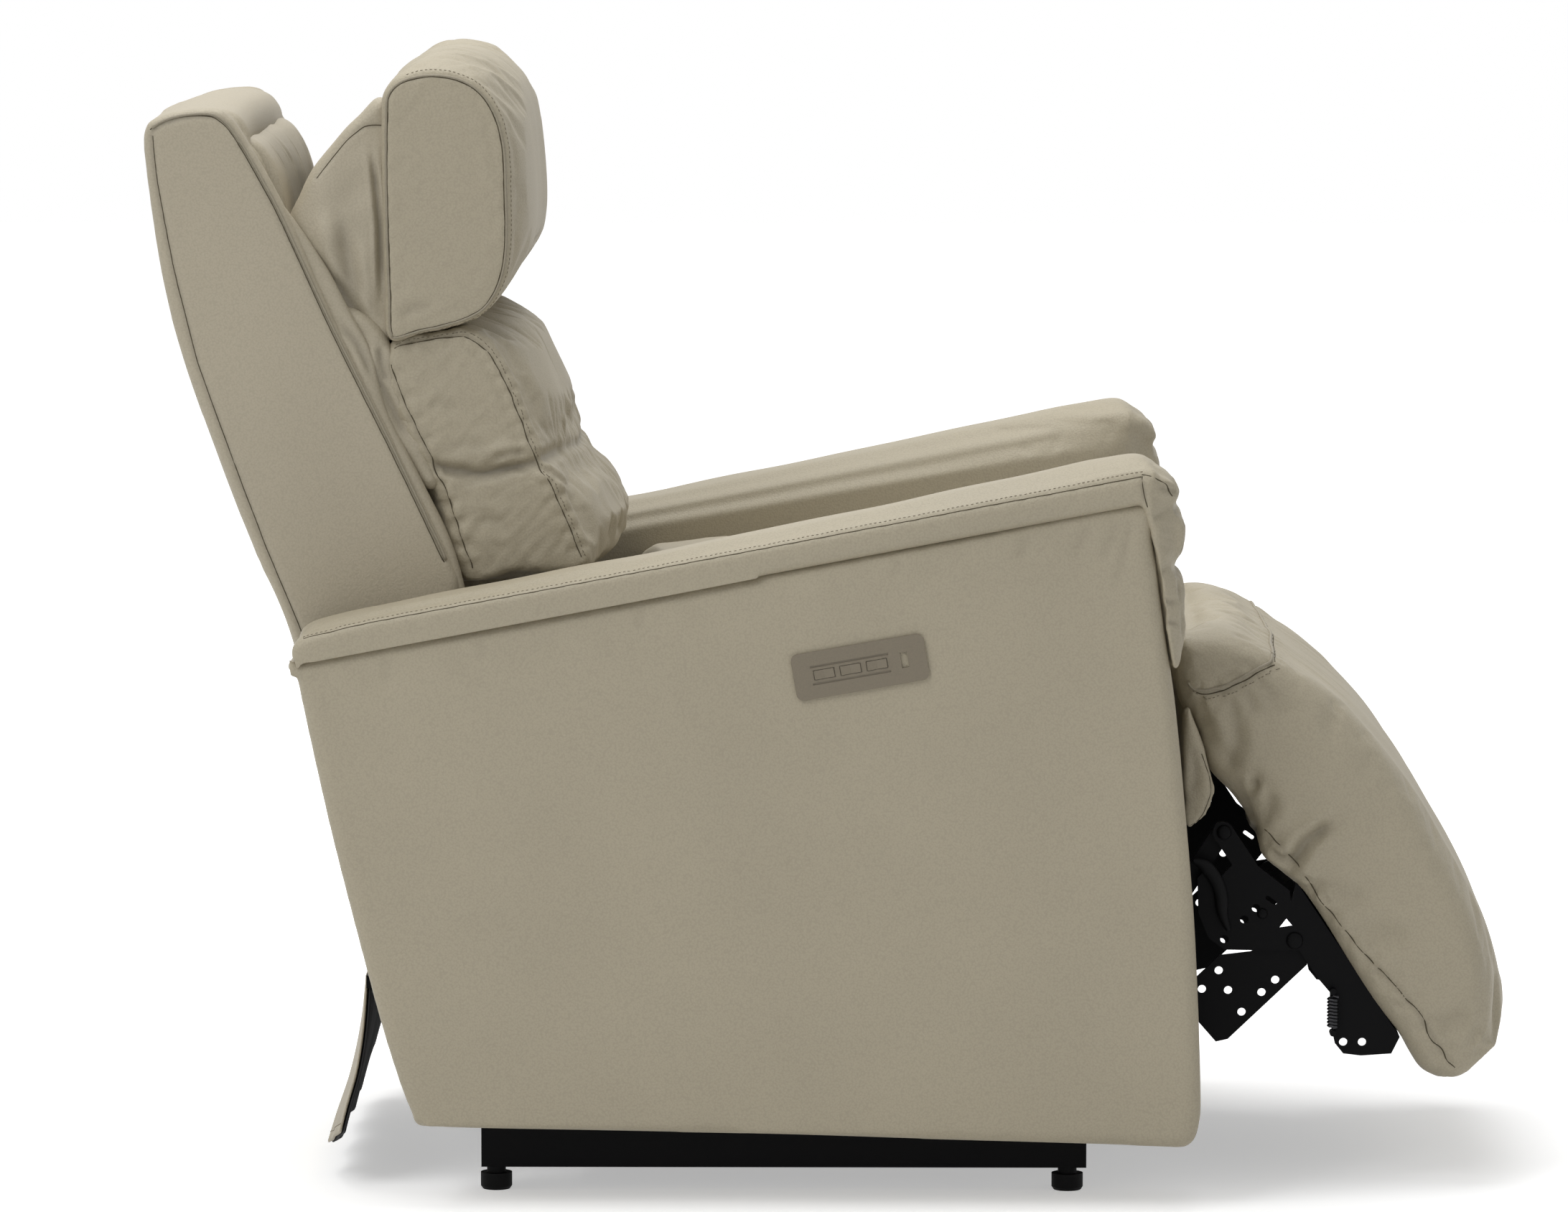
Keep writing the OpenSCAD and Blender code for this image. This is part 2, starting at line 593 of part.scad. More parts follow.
// back brackets and padded back
module back_bracket_body() color(steel_black) {
  difference() {
    across(layer1, layer1 + steel) polygon([[-232, 318], [-250, 310], [-276, 322],
      board_low + 40 * board_u + board_n, board_low + 190 * board_u + board_n,
      board_low + 190 * board_u + 22 * board_n, board_low + 60 * board_u + 34 * board_n,
      [-256, 350], [-236, 346], [-230, 332]]);
    pin(back_p, layer1 - 1, layer2, pin_diameter);
  }
  pin(back_p, plate_in - 6, layer1 + steel, pin_diameter);
}
module back_bracket_right() mirror([0, 1, 0]) back_bracket_body();
module back_bracket_left() back_bracket_body();

// board inside the back, standing on the padded rear panel
board_low = [-414, 470];
board_high = [-588, 985];
board_n = [board_high.y - board_low.y, board_low.x - board_high.x] / norm(board_high - board_low);
board_u = (board_high - board_low) / norm(board_high - board_low);
function b_at(k) = board_n * back_board + k * board_u;
module back_frame() color(timber) across(-layer1, layer1) polygon([board_low, board_high,
  board_high + back_board * board_n, board_low + back_board * board_n]);

back_side = [[-442, 216], [-424, 216], [-420, 300], [-418, 400], [-404, 470], [-366, 520],
  [-356, 560], [-366, 604], [-420, 717], [-479, 836], [-530, 940], [-550, 988],
  [-562, 1013], [-585, 1027], [-620, 1026], [-645, 1014], [-650, 990], [-631, 873],
  [-609, 791], [-576, 695], [-547, 612], [-516, 534], [-486, 416], [-460, 300]];
back_mid = [[-442, 216], [-424, 216], [-420, 300], [-418, 400], [-404, 470], [-366, 520],
  [-356, 560], [-366, 604], [-420, 717], [-479, 836], [-530, 940], [-550, 994],
  [-562, 1020], [-585, 1034], [-620, 1033], [-645, 1018], [-650, 990], [-631, 873],
  [-609, 791], [-576, 695], [-547, 612], [-516, 534], [-486, 416], [-460, 300]];
module back_shell() color(leather_dark) difference() {
  soft(back_side, back_mid, back_half, 14, 1, [-0.6, 0, 0.6]);
  across(-layer1 - steel - 1, layer1 + steel + 1) polygon([board_low + [0, -30],
    board_low, board_high, board_high + [8, 45], [-300, 1090], [-300, 440]]);
}

// back cushion in two fat folds with a tuck between them
module back_cushion() color(leather) {
  q = board_low + b_at(0);
  n = board_n;
  soft([[-342, 586], [-300, 582], [-226, 592], [-206, 606], [-212, 640], [-236, 676],
      [-262, 696], [-272, 716], [-290, 752], [-312, 786], [-338, 806], [-378, 814],
      [-418, 806], [-428, 770], [-412, 725], [-376, 666]],
    [q + 120 * board_u + 10.5 * n, [-330, 580], [-224, 584], [-180, 602], [-196, 644], [-222, 678],
      [-238, 694], [-240, 714], [-256, 760], [-282, 806], [-312, 827], [-360, 826],
      [-418, 806], q + 270 * board_u + 9.5 * n, q + 220 * board_u + 1.2 * n,
      q + 170 * board_u + 1.2 * n],
    back_cushion_half, 16, 2, [-0.75, -0.4, 0, 0.4, 0.75]);
}

// headrest and its hinges
module head_hinge_body() color(steel_black) {
  difference() {
    across(100, 106) polygon([board_high + b_at(-120), board_high + b_at(-160), [-470, 830],
      [-438, 830], [-422, 838], [-422, 846], [-432, 854], [-470, 862]]);
    pin(head_p, 99, 107, pin_diameter);
  }
  pin(head_p, 100, 116, pin_diameter);
}
module head_hinge_right() mirror([0, 1, 0]) head_hinge_body();
module head_hinge_left() head_hinge_body();

// small gear motor on the board behind the headrest
module head_motor() color(black) {
  c = board_high + b_at(-105) + 21 * board_n;
  across(-60, 60) {
    translate(c) circle(r = 17);
    polygon([board_high + b_at(-122), board_high + b_at(-88), c + 17 * board_u, c - 17 * board_u]);
  }
}
head_rear = [-424, 880];
head_up = [-430, 995];
module headrest_frame() color(steel_black) {
  across(-170, 170) polygon([head_rear, head_up, head_up + [-5, 0], head_rear + [-5, 0]]);
  for (s = [0, 1]) mirror([0, s, 0]) difference() {
    across(108, 114) polygon([head_rear + [-1, 20], head_rear + [-1, 0], [-424, 846],
      [-426, 836], [-438, 836], [-442, 846], [-438, 890], head_rear + [-4, 20]]);
    pin(head_p, 107, 115, pin_diameter + pin_play);
  }
}
module headrest_pad() color(leather) soft(
  [[-416, 814], [-392, 818], [-353, 836], [-321, 873], [-310, 932], [-315, 1012], [-345, 1053],
    [-385, 1062], [-411, 1057], [-424, 1043], head_up + [0.6, 0], [-426.4, 937.5], head_rear, [-421, 846]],
  [[-416, 822], [-385, 826], [-332, 845], [-303, 876], [-286, 932], [-290, 1012], [-318, 1072],
    [-361, 1089], [-407, 1074], [-434, 1044], head_up + [0.6, 0], [-426.4, 937.5], head_rear, [-421, 846]],
  head_half, 12, 3, [-0.75, -0.4, 0, 0.4, 0.75]);

// leather fold that fills the corner between headrest and wing
module head_gusset_body() color(leather_dark) across(176, 212)
  polygon([[-425.4, 900], [-452, 884], [-492, 926], [-494, 958], [-474, 990], [-452, 1010],
    [-433.3, 1030], [-430.3, 1000], [-428.9, 960]]);
module head_gusset_right() mirror([0, 1, 0]) head_gusset_body();
module head_gusset_left() head_gusset_body();

base_rail_right();
base_rail_left();
front_cross_tube();
rear_cross_tube();
glide_front_right();
glide_front_left();
glide_rear_right();
glide_rear_left();
arm_frame_right();
arm_frame_left();
arm_cover_right();
arm_cover_left();
arm_pad_right();
arm_pad_left();
switch_plate();
switch_box();
usb_port();
switch_foot();
switch_back();
switch_head();
power_supply();
power_inlet();
skirt_rail();
rear_skirt();
mech_plate_right();
mech_plate_left();
runner_right();
runner_left();
seat_front_rail();
seat_rear_rail();
seat_springs();
seat_cushion();
front_apron();
foot_motor();
back_motor();
drive_shaft();
crank_right();
crank_left();
coupler_right();
coupler_left();
stay_right();
stay_left();
foot_bracket_right();
foot_bracket_left();
foot_spring_right();
foot_spring_left();
footrest_board();
footrest_pad();
back_bracket_right();
back_bracket_left();
back_frame();
back_shell();
back_cushion();
head_hinge_right();
head_hinge_left();
head_motor();
headrest_frame();
headrest_pad();
head_gusset_right();
head_gusset_left();
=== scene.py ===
import json
import math

import bmesh
import bpy
import numpy as np
from mathutils import Matrix, Vector
from mathutils.bvhtree import BVHTree


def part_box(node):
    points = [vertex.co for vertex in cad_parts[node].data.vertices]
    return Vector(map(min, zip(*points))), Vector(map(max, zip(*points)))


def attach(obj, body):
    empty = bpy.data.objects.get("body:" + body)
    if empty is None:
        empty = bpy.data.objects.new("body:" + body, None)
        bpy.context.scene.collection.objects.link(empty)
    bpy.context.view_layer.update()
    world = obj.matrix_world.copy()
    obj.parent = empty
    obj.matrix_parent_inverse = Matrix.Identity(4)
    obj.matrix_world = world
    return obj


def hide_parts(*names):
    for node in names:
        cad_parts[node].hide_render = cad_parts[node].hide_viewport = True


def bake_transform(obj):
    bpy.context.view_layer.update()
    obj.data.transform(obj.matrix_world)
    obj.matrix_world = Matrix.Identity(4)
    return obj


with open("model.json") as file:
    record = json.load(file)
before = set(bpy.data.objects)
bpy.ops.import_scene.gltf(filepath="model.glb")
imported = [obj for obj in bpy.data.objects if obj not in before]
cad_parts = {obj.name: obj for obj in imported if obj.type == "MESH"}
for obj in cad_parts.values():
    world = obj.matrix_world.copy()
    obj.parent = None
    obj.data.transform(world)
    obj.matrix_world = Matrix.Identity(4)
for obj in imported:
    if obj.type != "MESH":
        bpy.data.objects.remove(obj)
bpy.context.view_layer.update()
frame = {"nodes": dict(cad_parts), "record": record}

MM = 0.001
SEED = 7
SIDES = ((-1, "right"), (1, "left"))
SEAM_LIFT, SEAM_STEP = -0.25, 3.0    # a seam's dark line of painted shadow lies this far below the leather, in steps this long


def reach_of(part):
    """How far a CAD node reaches to the chair's left, in millimetres."""
    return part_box(part)[1][1] / MM


# places taken from the frame, in millimetres
arm_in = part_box("arm_cover_left")[0][1] / MM
arm_out, pad_out = reach_of("arm_cover_left"), reach_of("arm_pad_left")
back_half, cushion_half = reach_of("back_shell"), reach_of("back_cushion")
head_half, foot_half, seat_half = reach_of("headrest_pad"), reach_of("footrest_pad"), reach_of("seat_cushion")
arm_low_x, arm_low_z, arm_slope = -505, 515, 0.1887


def arm_top(x):
    """Height of the line where the arm pad meets the side panel."""
    return arm_low_z + (x - arm_low_x) * arm_slope


def on_arm(points):
    """Points of X and height above the line where the arm pad meets the side panel."""
    return [(x, arm_top(x) + up) for x, up in points]


# curves and outlines

def catmull(points, per_span, closed):
    """Smooth curve through points, per_span steps from each point to the next."""
    p = np.array(points, float)
    n = len(p)
    spans = n if closed else n - 1
    out = []
    for i in range(spans):
        if closed:
            a, b, c, d = p[(i - 1) % n], p[i], p[(i + 1) % n], p[(i + 2) % n]
        else:
            a, b, c, d = p[max(i - 1, 0)], p[i], p[i + 1], p[min(i + 2, n - 1)]
        for t in np.arange(per_span) / per_span:
            out.append(0.5 * (2 * b + (c - a) * t + (2 * a - 5 * b + 4 * c - d) * t * t
                              + (3 * b - a - 3 * c + d) * t ** 3))
    if not closed:
        out.append(p[-1])
    return np.array(out)


def even(path, step):
    """Points spaced evenly along an open path."""
    path = np.array(path, float)
    along = np.concatenate([[0], np.cumsum(np.linalg.norm(np.diff(path, axis=0), axis=1))])
    count = max(int(round(along[-1] / step)), 2)
    at = np.linspace(0, along[-1], count + 1)
    return np.stack([np.interp(at, along, path[:, k]) for k in range(path.shape[1])], axis=1)


def inward(loop):
    """Unit steps into a closed loop of X and Z."""
    ahead = np.roll(loop, -1, axis=0) - np.roll(loop, 1, axis=0)
    area = np.sum(loop[:, 0] * np.roll(loop[:, 1], -1) - np.roll(loop[:, 0], -1) * loop[:, 1])
    step = np.stack([-ahead[:, 1], ahead[:, 0]], axis=1) * np.sign(area)
    return step / np.maximum(np.linalg.norm(step, axis=1, keepdims=True), 1e-6)


def at(y, points):
    """Points of X and Z set on one plane across the chair."""
    return [(x, y, z) for x, z in points]


def mirror_path(path, sign):
    """Path on the side of the chair that sign gives, 1 for the same side."""
    return [(x, sign * y, z) for x, y, z in path]


def rounding(radius, count):
    """Rows round an edge: how far each stands in from the end, and how far its loop draws in."""
    return [(radius * (1 - math.sin(a)), radius * (1 - math.cos(a)))
            for a in np.radians(np.linspace(90, 0, count))]


def unit(ways):
    """Rows of an array scaled to a length of 1."""
    return ways / np.maximum(np.linalg.norm(ways, axis=1, keepdims=True), 1e-9)


# meshes

def placed(name, data):
    """Object in the scene for a mesh, a lamp or a camera."""
    obj = bpy.data.objects.new(name, data)
    bpy.context.scene.collection.objects.link(obj)
    return obj


def new_mesh(name, points, faces):
    """Object from points in millimetres and their faces."""
    mesh = bpy.data.meshes.new(name)
    mesh.from_pydata([tuple(v) for v in np.array(points) * MM], [], faces)
    mesh.validate()
    return placed(name, mesh)


def ring_faces(rings, sides):
    """Faces between rings of points, each ring with as many sides."""
    faces = []
    for i in range(rings - 1):
        for k in range(sides):
            a, b = i * sides + k, i * sides + (k + 1) % sides
            faces.append((a, b, b + sides, a + sides))
    return faces


def end_caps(rings, sides):
    """Faces that close the first and the last ring."""
    last = (rings - 1) * sides
    return [tuple(range(sides - 1, -1, -1)), tuple(range(last, last + sides))]


def face_out(obj, cut=False):
    """Turn all faces outward; cut divides the large ones into triangles first."""
    bm = bmesh.new()
    bm.from_mesh(obj.data)
    if cut:
        bmesh.ops.triangulate(bm, faces=[f for f in bm.faces if len(f.verts) > 4])
    bmesh.ops.recalc_face_normals(bm, faces=bm.faces)
    bm.to_mesh(obj.data)
    bm.free()
    return obj


def loft(name, rows):
    """Closed body through rows of (Y, loop of X and Z), all loops with as many points."""
    count = len(rows[0][1])
    verts = [(x, y, z) for y, loop in rows for x, z in loop]
    caps = [cap[::-1] for cap in end_caps(len(rows), count)]
    return face_out(new_mesh(name, verts, ring_faces(len(rows), count) + caps), cut=True)


def cushion_rows(side, mid, half, edge, power=2.0, shrink=0.0, rows=36, per_span=8):
    """Rows of a crowned body: mid loop in the middle, side loop at both ends, round edges."""
    s = catmull(side, per_span, True)
    m = catmull(mid, per_span, True)
    s = s + inward(s) * min(shrink, 1.0)
    m = m + inward(m) * shrink
    into = inward(s)
    half = half - min(shrink, 1.5)
    out = [(step - half, inset) for step, inset in rounding(edge, 6)]
    out += [(y, 0.0) for y in np.linspace(-half + edge, half - edge, rows)[1:-1]]
    out += [(-y, inset) for y, inset in reversed(out[:6])]
    return [(y, m + (s - m) * abs(y / half) ** power + into * inset) for y, inset in out]


def surface_tree(obj):
    """Search tree of an object's faces."""
    mesh = obj.data
    return BVHTree.FromPolygons([v.co for v in mesh.vertices], [p.vertices for p in mesh.polygons])


def applied(obj):
    """The object's mesh with its modifiers applied."""
    deps = bpy.context.evaluated_depsgraph_get()
    mesh = bpy.data.meshes.new_from_object(obj.evaluated_get(deps))
    old = obj.data
    obj.modifiers.clear()
    obj.data = mesh
    bpy.data.meshes.remove(old)
    return obj


def set_all(thing, **settings):
    """The thing with these of its settings changed."""
    for key, value in settings.items():
        setattr(thing, key, value)
    return thing


def modified(obj, kind, **settings):
    """The object's mesh with one modifier applied."""
    set_all(obj.modifiers.new(kind.lower(), kind), **settings)
    return applied(obj)


def soften(obj, times):
    """Every point drawn toward its neighbours, this many times."""
    return modified(obj, "SMOOTH", factor=0.5, iterations=times)


def turned(obj, degrees):
    """Turn a mesh about the axis across the chair."""
    obj.data.transform(Matrix.Rotation(math.radians(degrees), 4, "Y"))


def remesh(obj, size, smooth=4, settle=2, slope=0.0):
    """Even mesh of voxels laid back on the first shape; slope lines the voxels up with it."""
    turned(obj, slope)
    tree = surface_tree(obj)
    set_all(obj.modifiers.new("even", "REMESH"), mode="VOXEL", voxel_size=size * MM)
    soften(obj, smooth)
    co, _ = points_of(obj)
    set_points(obj, np.array([tree.find_nearest(Vector(p * MM))[0] for p in co]) / MM)
    soften(obj, settle)
    turned(obj, -slope)
    return obj


def refine(obj):
    """Each face cut into four, smoothly."""
    return modified(obj, "SUBSURF", levels=1, render_levels=1)


def points_of(obj):
    """Vertices and their normals, in millimetres."""
    mesh = obj.data
    co = np.empty(len(mesh.vertices) * 3)
    no = np.empty(len(mesh.vertices) * 3)
    mesh.vertices.foreach_get("co", co)
    mesh.vertices.foreach_get("normal", no)
    return co.reshape(-1, 3) / MM, no.reshape(-1, 3)


def set_points(obj, co):
    obj.data.vertices.foreach_set("co", (co * MM).ravel())
    obj.data.update()


def nearest(co, path, reach):
    """Distance to a path and place along it for the points within reach of it."""
    path = even(path, 2.0)
    low, high = path.min(axis=0) - reach, path.max(axis=0) + reach
    index = np.nonzero(np.all((co > low) & (co < high), axis=1))[0]
    dist = np.full(len(co), 1e9)
    along = np.zeros(len(co))
    for part in np.array_split(index, max(len(index) // 4000, 1)):
        if len(part):
            gap = np.linalg.norm(co[part, None, :] - path[None, :, :], axis=2)
            pick = gap.argmin(axis=1)
            dist[part] = gap[np.arange(len(part)), pick]
            along[part] = pick * 2.0
    return dist, along


class Surface:
    """Shapes one soft mesh: grooves, folds and puckers, with a record of the painted shade that darkens its
    creases.
    """

    def __init__(self, obj):
        self.obj = obj
        self.co, self.no = points_of(obj)
        self.crease_shade = np.zeros(len(self.co))

    def move(self, amount):
        """Carry each point along its normal by its own amount."""
        self.co = self.co + self.no * amount[:, None]

    def groove(self, path, depth, width, shade=1.0, pucker=0.0, pitch=14.0, seed=0):
        """Seam pressed into the surface along a path, with small puckers beside it."""
        dist, along = nearest(self.co, path, width * 5)
        pull = np.exp(-(dist / width) ** 2)
        self.move(-depth * pull)
        if pucker:
            beside = np.exp(-((dist - 2.2 * width) / (1.8 * width)) ** 2)
            phase = along / pitch * 2 * math.pi + 1.7 * np.sin(along / (pitch * 2.7) + seed)
            self.move(-pucker * beside * np.maximum(np.sin(phase), -0.3))
        # painted shade: darkens the leather's colour along the groove
        self.crease_shade = np.maximum(self.crease_shade, shade * np.exp(-(dist / (width * 0.8)) ** 2))

    def fold(self, path, depth, width, shade=0.5, ridge=0.45):
        """Crease that fades out at both ends, with a soft ridge on each side."""
        dist, along = nearest(self.co, path, width * 5)
        length = along.max() if along.max() > 0 else 1.0
        fade = np.clip(np.sin(np.pi * np.clip(along / length, 0, 1)) * 1.6, 0.12, 1)
        pull = np.exp(-(dist / width) ** 2) - ridge * np.exp(-((dist - 2 * width) / width) ** 2)
        near = dist < 1e8
        self.move(np.where(near, -depth * fade * pull, 0))
        # painted shade: darkens the leather's colour along the crease
        self.crease_shade = np.maximum(self.crease_shade, shade * fade * np.exp(-(dist / (width * 0.9)) ** 2))

    def bulge(self, centre, radii, amount):
        """Smooth swelling round a centre."""
        d = np.sum(((self.co - np.array(centre)) / np.array(radii)) ** 2, axis=1)
        self.move(amount * np.exp(-d))

    def ripple(self, where, amount, size, seed):
        """Slow uneven swell of the leather, where is a weight for each point."""
        rng = np.random.default_rng(seed)
        total = np.zeros(len(self.co))
        for _ in range(9):
            way = rng.normal(size=3)
            way /= np.linalg.norm(way) * size * rng.uniform(0.7, 1.6)
            total += np.sin(self.co @ way * 2 * math.pi + rng.uniform(0, 6.28))
        self.move(where * amount * total / 3)

    def done(self):
        """The object, with its new shape and the painted shade of its creases stored."""
        set_points(self.obj, self.co)
        layer = self.obj.data.attributes.new("crease_shade", "FLOAT", "POINT")
        layer.data.foreach_set("value", np.clip(self.crease_shade, 0, 1))
        return self.obj


def swell(obj, cap, pressure, hold, grow=0.0):
    """Fill a closed cover with cloth simulation; hold gives the share of hold for each point."""
    frames = 20
    co, no = points_of(obj)
    pins = np.clip(hold(co), 0, 1)
    group = obj.vertex_groups.new(name="hold")
    for level in (0.25, 0.5, 0.75, 1.0):
        chosen = np.nonzero((pins > level - 0.25) & (pins <= level))[0]
        group.add([int(i) for i in chosen], level, "REPLACE")
    mod = obj.modifiers.new("cloth", "CLOTH")
    cloth = set_all(mod.settings, use_pressure=True, uniform_pressure_force=pressure, quality=4, mass=0.4,
                    tension_stiffness=12, compression_stiffness=12, bending_stiffness=1.2, shrink_min=-grow,
                    vertex_group_mass="hold")
    cloth.effector_weights.gravity = 0
    mod.collision_settings.use_collision = False
    scene = bpy.context.scene
    set_all(mod.point_cache, frame_start=1, frame_end=frames)
    for number in range(1, frames + 1):
        scene.frame_set(number)
    deps = bpy.context.evaluated_depsgraph_get()
    mesh = obj.evaluated_get(deps).to_mesh()
    after = np.empty(len(mesh.vertices) * 3)
    mesh.vertices.foreach_get("co", after)
    moved = after.reshape(-1, 3) / MM - co
    size = np.linalg.norm(moved, axis=1, keepdims=True)
    moved *= np.minimum(1, cap / np.maximum(size, 1e-6))
    obj.evaluated_get(deps).to_mesh_clear()
    obj.modifiers.clear()
    obj.vertex_groups.clear()
    scene.frame_set(1)
    set_points(obj, co + moved)


def seam_hold(paths, width):
    """Hold that is full on the paths and fades over width."""
    def weight(co):
        best = np.zeros(len(co))
        for path in paths:
            dist, _ = nearest(co, path, width * 3)
            best = np.maximum(best, np.exp(-(dist / width) ** 2))
        return np.where(best > 0.6, 1.0, best)
    return weight


def on_surface(obj, path):
    """Points laid on an object's surface and its normals there, in millimetres."""
    tree = surface_tree(obj)
    found = [tree.find_nearest(Vector(p * MM)) for p in path]
    return np.array([hit[0] for hit in found]) / MM, np.array([hit[1] for hit in found])


def tube(name, path, radius):
    """Round cord along an open path, in millimetres."""
    sides = 8
    path = np.array(path, float)
    ahead = unit(np.gradient(path, axis=0))
    side = np.cross(ahead, [0.0, 1.0, 0.0])
    weak = np.linalg.norm(side, axis=1) < 0.2
    side[weak] = np.cross(ahead[weak], [0.0, 0.0, 1.0])
    side = unit(side)
    up = np.cross(side, ahead)
    verts = []
    for i, centre in enumerate(path):
        for a in np.arange(sides) * 2 * math.pi / sides:
            verts.append(centre + radius * (math.cos(a) * side[i] + math.sin(a) * up[i]))
    return new_mesh(name, verts, ring_faces(len(path), sides) + end_caps(len(path), sides))


def laid_tube(name, base, path, radius, lift, step):
    """Tube laid on a surface, its middle line lifted above it."""
    points, normals = on_surface(base, even(path, step))
    points = points + normals * lift
    for _ in range(3):
        points[1:-1] = (points[:-2] + 2 * points[1:-1] + points[2:]) / 4
    return tube(name, points, radius)


def stitches(name, base, path, offset):
    """Row of short threads sunk into a surface, offset sideways from the path."""
    pitch, length, radius, lift, sides = 4.6, 3.0, 0.4, 0.1, 5
    points, normals = on_surface(base, even(path, pitch))
    ahead = unit(np.gradient(points, axis=0))
    across = np.cross(normals, ahead)
    if offset:
        points, normals = on_surface(base, points + across * offset)
    verts, faces = [], []
    for p, n, a, b in zip(points + normals * lift, normals, ahead, across):
        start = len(verts)
        for t, share, drop in ((-0.5, 0.25, -0.5), (-0.3, 1, 0), (0.3, 1, 0), (0.5, 0.25, -0.5)):
            for w in np.arange(sides) * 2 * math.pi / sides:
                ring = radius * share * (math.cos(w) * b + math.sin(w) * n)
                verts.append(p + a * t * length + n * drop + ring)
        faces += [tuple(start + i for i in f) for f in ring_faces(4, sides) + end_caps(4, sides)]
    return new_mesh(name, verts, faces)


def dress(obj, material):
    """Smooth faces and a material."""
    obj.data.polygons.foreach_set("use_smooth", [True] * len(obj.data.polygons))
    obj.data.update()
    obj.data.materials.clear()
    obj.data.materials.append(material)


def finish_piece(obj, body, slot, nodes=(), material=None):
    """Riding body, record slot with its material, and the CAD nodes that a piece stands for."""
    dress(obj, material or LOOKS[slot])
    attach(obj, body)
    if nodes:
        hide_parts(*nodes)


def trim(obj, material, cover):
    """Small sewn piece that moves with its cover."""
    dress(obj, material)
    obj.parent = cover


def seam_line(name, cover, path, radius=0.6):
    """Dark line of painted shadow in a seam, sunk in the groove between two panels."""
    trim(laid_tube(name, cover, path, radius, SEAM_LIFT, SEAM_STEP), SEAM_SHADOW, cover)


def welt(name, cover, path, radius):
    """Thin piped edge on a cover."""
    trim(laid_tube(name, cover, path, radius, 0.4 * radius, 4.0), PIPING, cover)


def stitch_row(name, cover, path, offset=0.0):
    """Threads along a seam of a cover."""
    trim(stitches(name, cover, path, offset), THREAD, cover)


def mirrored(obj, name):
    """Copy on the other side of the chair."""
    mesh = obj.data.copy()
    mesh.name = name
    co = np.empty(len(mesh.vertices) * 3)
    mesh.vertices.foreach_get("co", co)
    co = co.reshape(-1, 3) * [1, -1, 1]
    mesh.vertices.foreach_set("co", co.ravel())
    mesh.flip_normals()
    return placed(name, mesh)


# materials

def feed(tree, target, inputs):
    """Give input sockets a value each, or the output socket that feeds them."""
    for key, value in inputs.items():
        if isinstance(value, bpy.types.NodeSocket):
            tree.links.new(value, target.inputs[key])
        else:
            target.inputs[key].default_value = value


def node(tree, kind, inputs=(), **settings):
    """New node with its settings and what goes into its input sockets."""
    made = set_all(tree.nodes.new(kind), **settings)
    feed(tree, made, dict(inputs))
    return made


def maths(tree, operation, *inputs, **settings):
    """Output of a Math node, its inputs given in order."""
    made = node(tree, "ShaderNodeMath", enumerate(inputs), operation=operation, **settings)
    return made.outputs[0]


def map_range(tree, value, source, target, **settings):
    """Value carried from one range to another."""
    names = ("Value", "From Min", "From Max", "To Min", "To Max")
    return node(tree, "ShaderNodeMapRange", zip(names, (value, *source, *target)), **settings).outputs[0]


def scaled(tree, vector, factor):
    """Colour or vector times a factor."""
    return node(tree, "ShaderNodeVectorMath", {0: vector, "Scale": factor}, operation="SCALE").outputs[0]


def noise(tree, place, scale, detail):
    """Noise texture of one scale and detail."""
    return node(tree, "ShaderNodeTexNoise", {"Vector": place, "Scale": scale, "Detail": detail})


def finish_group(name, inputs):
    """Node group with these inputs, and colour, roughness and height as its outputs."""
    group = bpy.data.node_groups.new(name, "ShaderNodeTree")
    for label, value in inputs.items():
        kind = "NodeSocketColor" if isinstance(value, tuple) else "NodeSocketFloat"
        group.interface.new_socket(label, in_out="INPUT", socket_type=kind).default_value = value
    for label, kind in (("Colour", "Color"), ("Roughness", "Float"), ("Height", "Float")):
        group.interface.new_socket(label, in_out="OUTPUT", socket_type="NodeSocket" + kind)
    given = node(group, "NodeGroupInput").outputs
    place = node(group, "ShaderNodeTexCoord").outputs["Object"]
    return group, given, place


def leather_group():
    """Pebbled leather: colour that varies, painted shade where it is creased, roughness and height of the
    grain.
    """
    group, given, place = finish_group("pebble leather", {
        "Colour": (0.5, 0.5, 0.5, 1), "Crease shade colour": (0.2, 0.2, 0.2, 1),
        "Grain size": 520.0, "Roughness": 0.55})
    bend = scaled(group, noise(group, place, 60, 2).outputs["Color"], 0.006)
    shift = node(group, "ShaderNodeVectorMath", {0: place, 1: bend}, operation="ADD").outputs[0]
    pebbles = {"Smoothness": 0.35, "Vector": shift, "Scale": given["Grain size"]}
    cells = node(group, "ShaderNodeTexVoronoi", pebbles, feature="SMOOTH_F1").outputs["Distance"]
    fine = noise(group, place, 900, 3).outputs["Fac"]
    broad = noise(group, place, 7, 4).outputs["Fac"]
    height = maths(group, "MULTIPLY_ADD", cells, -1.0, maths(group, "MULTIPLY_ADD", fine, 0.35))
    tone = map_range(group, broad, (0.3, 0.7), (0.97, 1.03))
    valley = map_range(group, cells, (0.35, 0.75), (1.02, 0.93))
    tinted = scaled(group, given["Colour"], maths(group, "MULTIPLY", tone, valley))
    crease_shade = node(group, "ShaderNodeAttribute", attribute_name="crease_shade").outputs["Fac"]
    # painted shade: mixes the colour toward a darker one where the surface is creased
    dark = node(group, "ShaderNodeMix", data_type="RGBA")
    feed(group, dark, {"Factor": crease_shade, "A": tinted, "B": given["Crease shade colour"]})
    rough = maths(group, "MULTIPLY_ADD", broad, 0.12, given["Roughness"])
    node(group, "NodeGroupOutput", {"Colour": dark.outputs["Result"], "Roughness": rough, "Height": height})
    return group


def srgb(r, g, b):
    """Colour from the photograph's 0 to 255 values."""
    return tuple(((c / 255 + 0.055) / 1.055) ** 2.4 if c > 10 else c / 255 / 12.92
                 for c in (r, g, b)) + (1.0,)


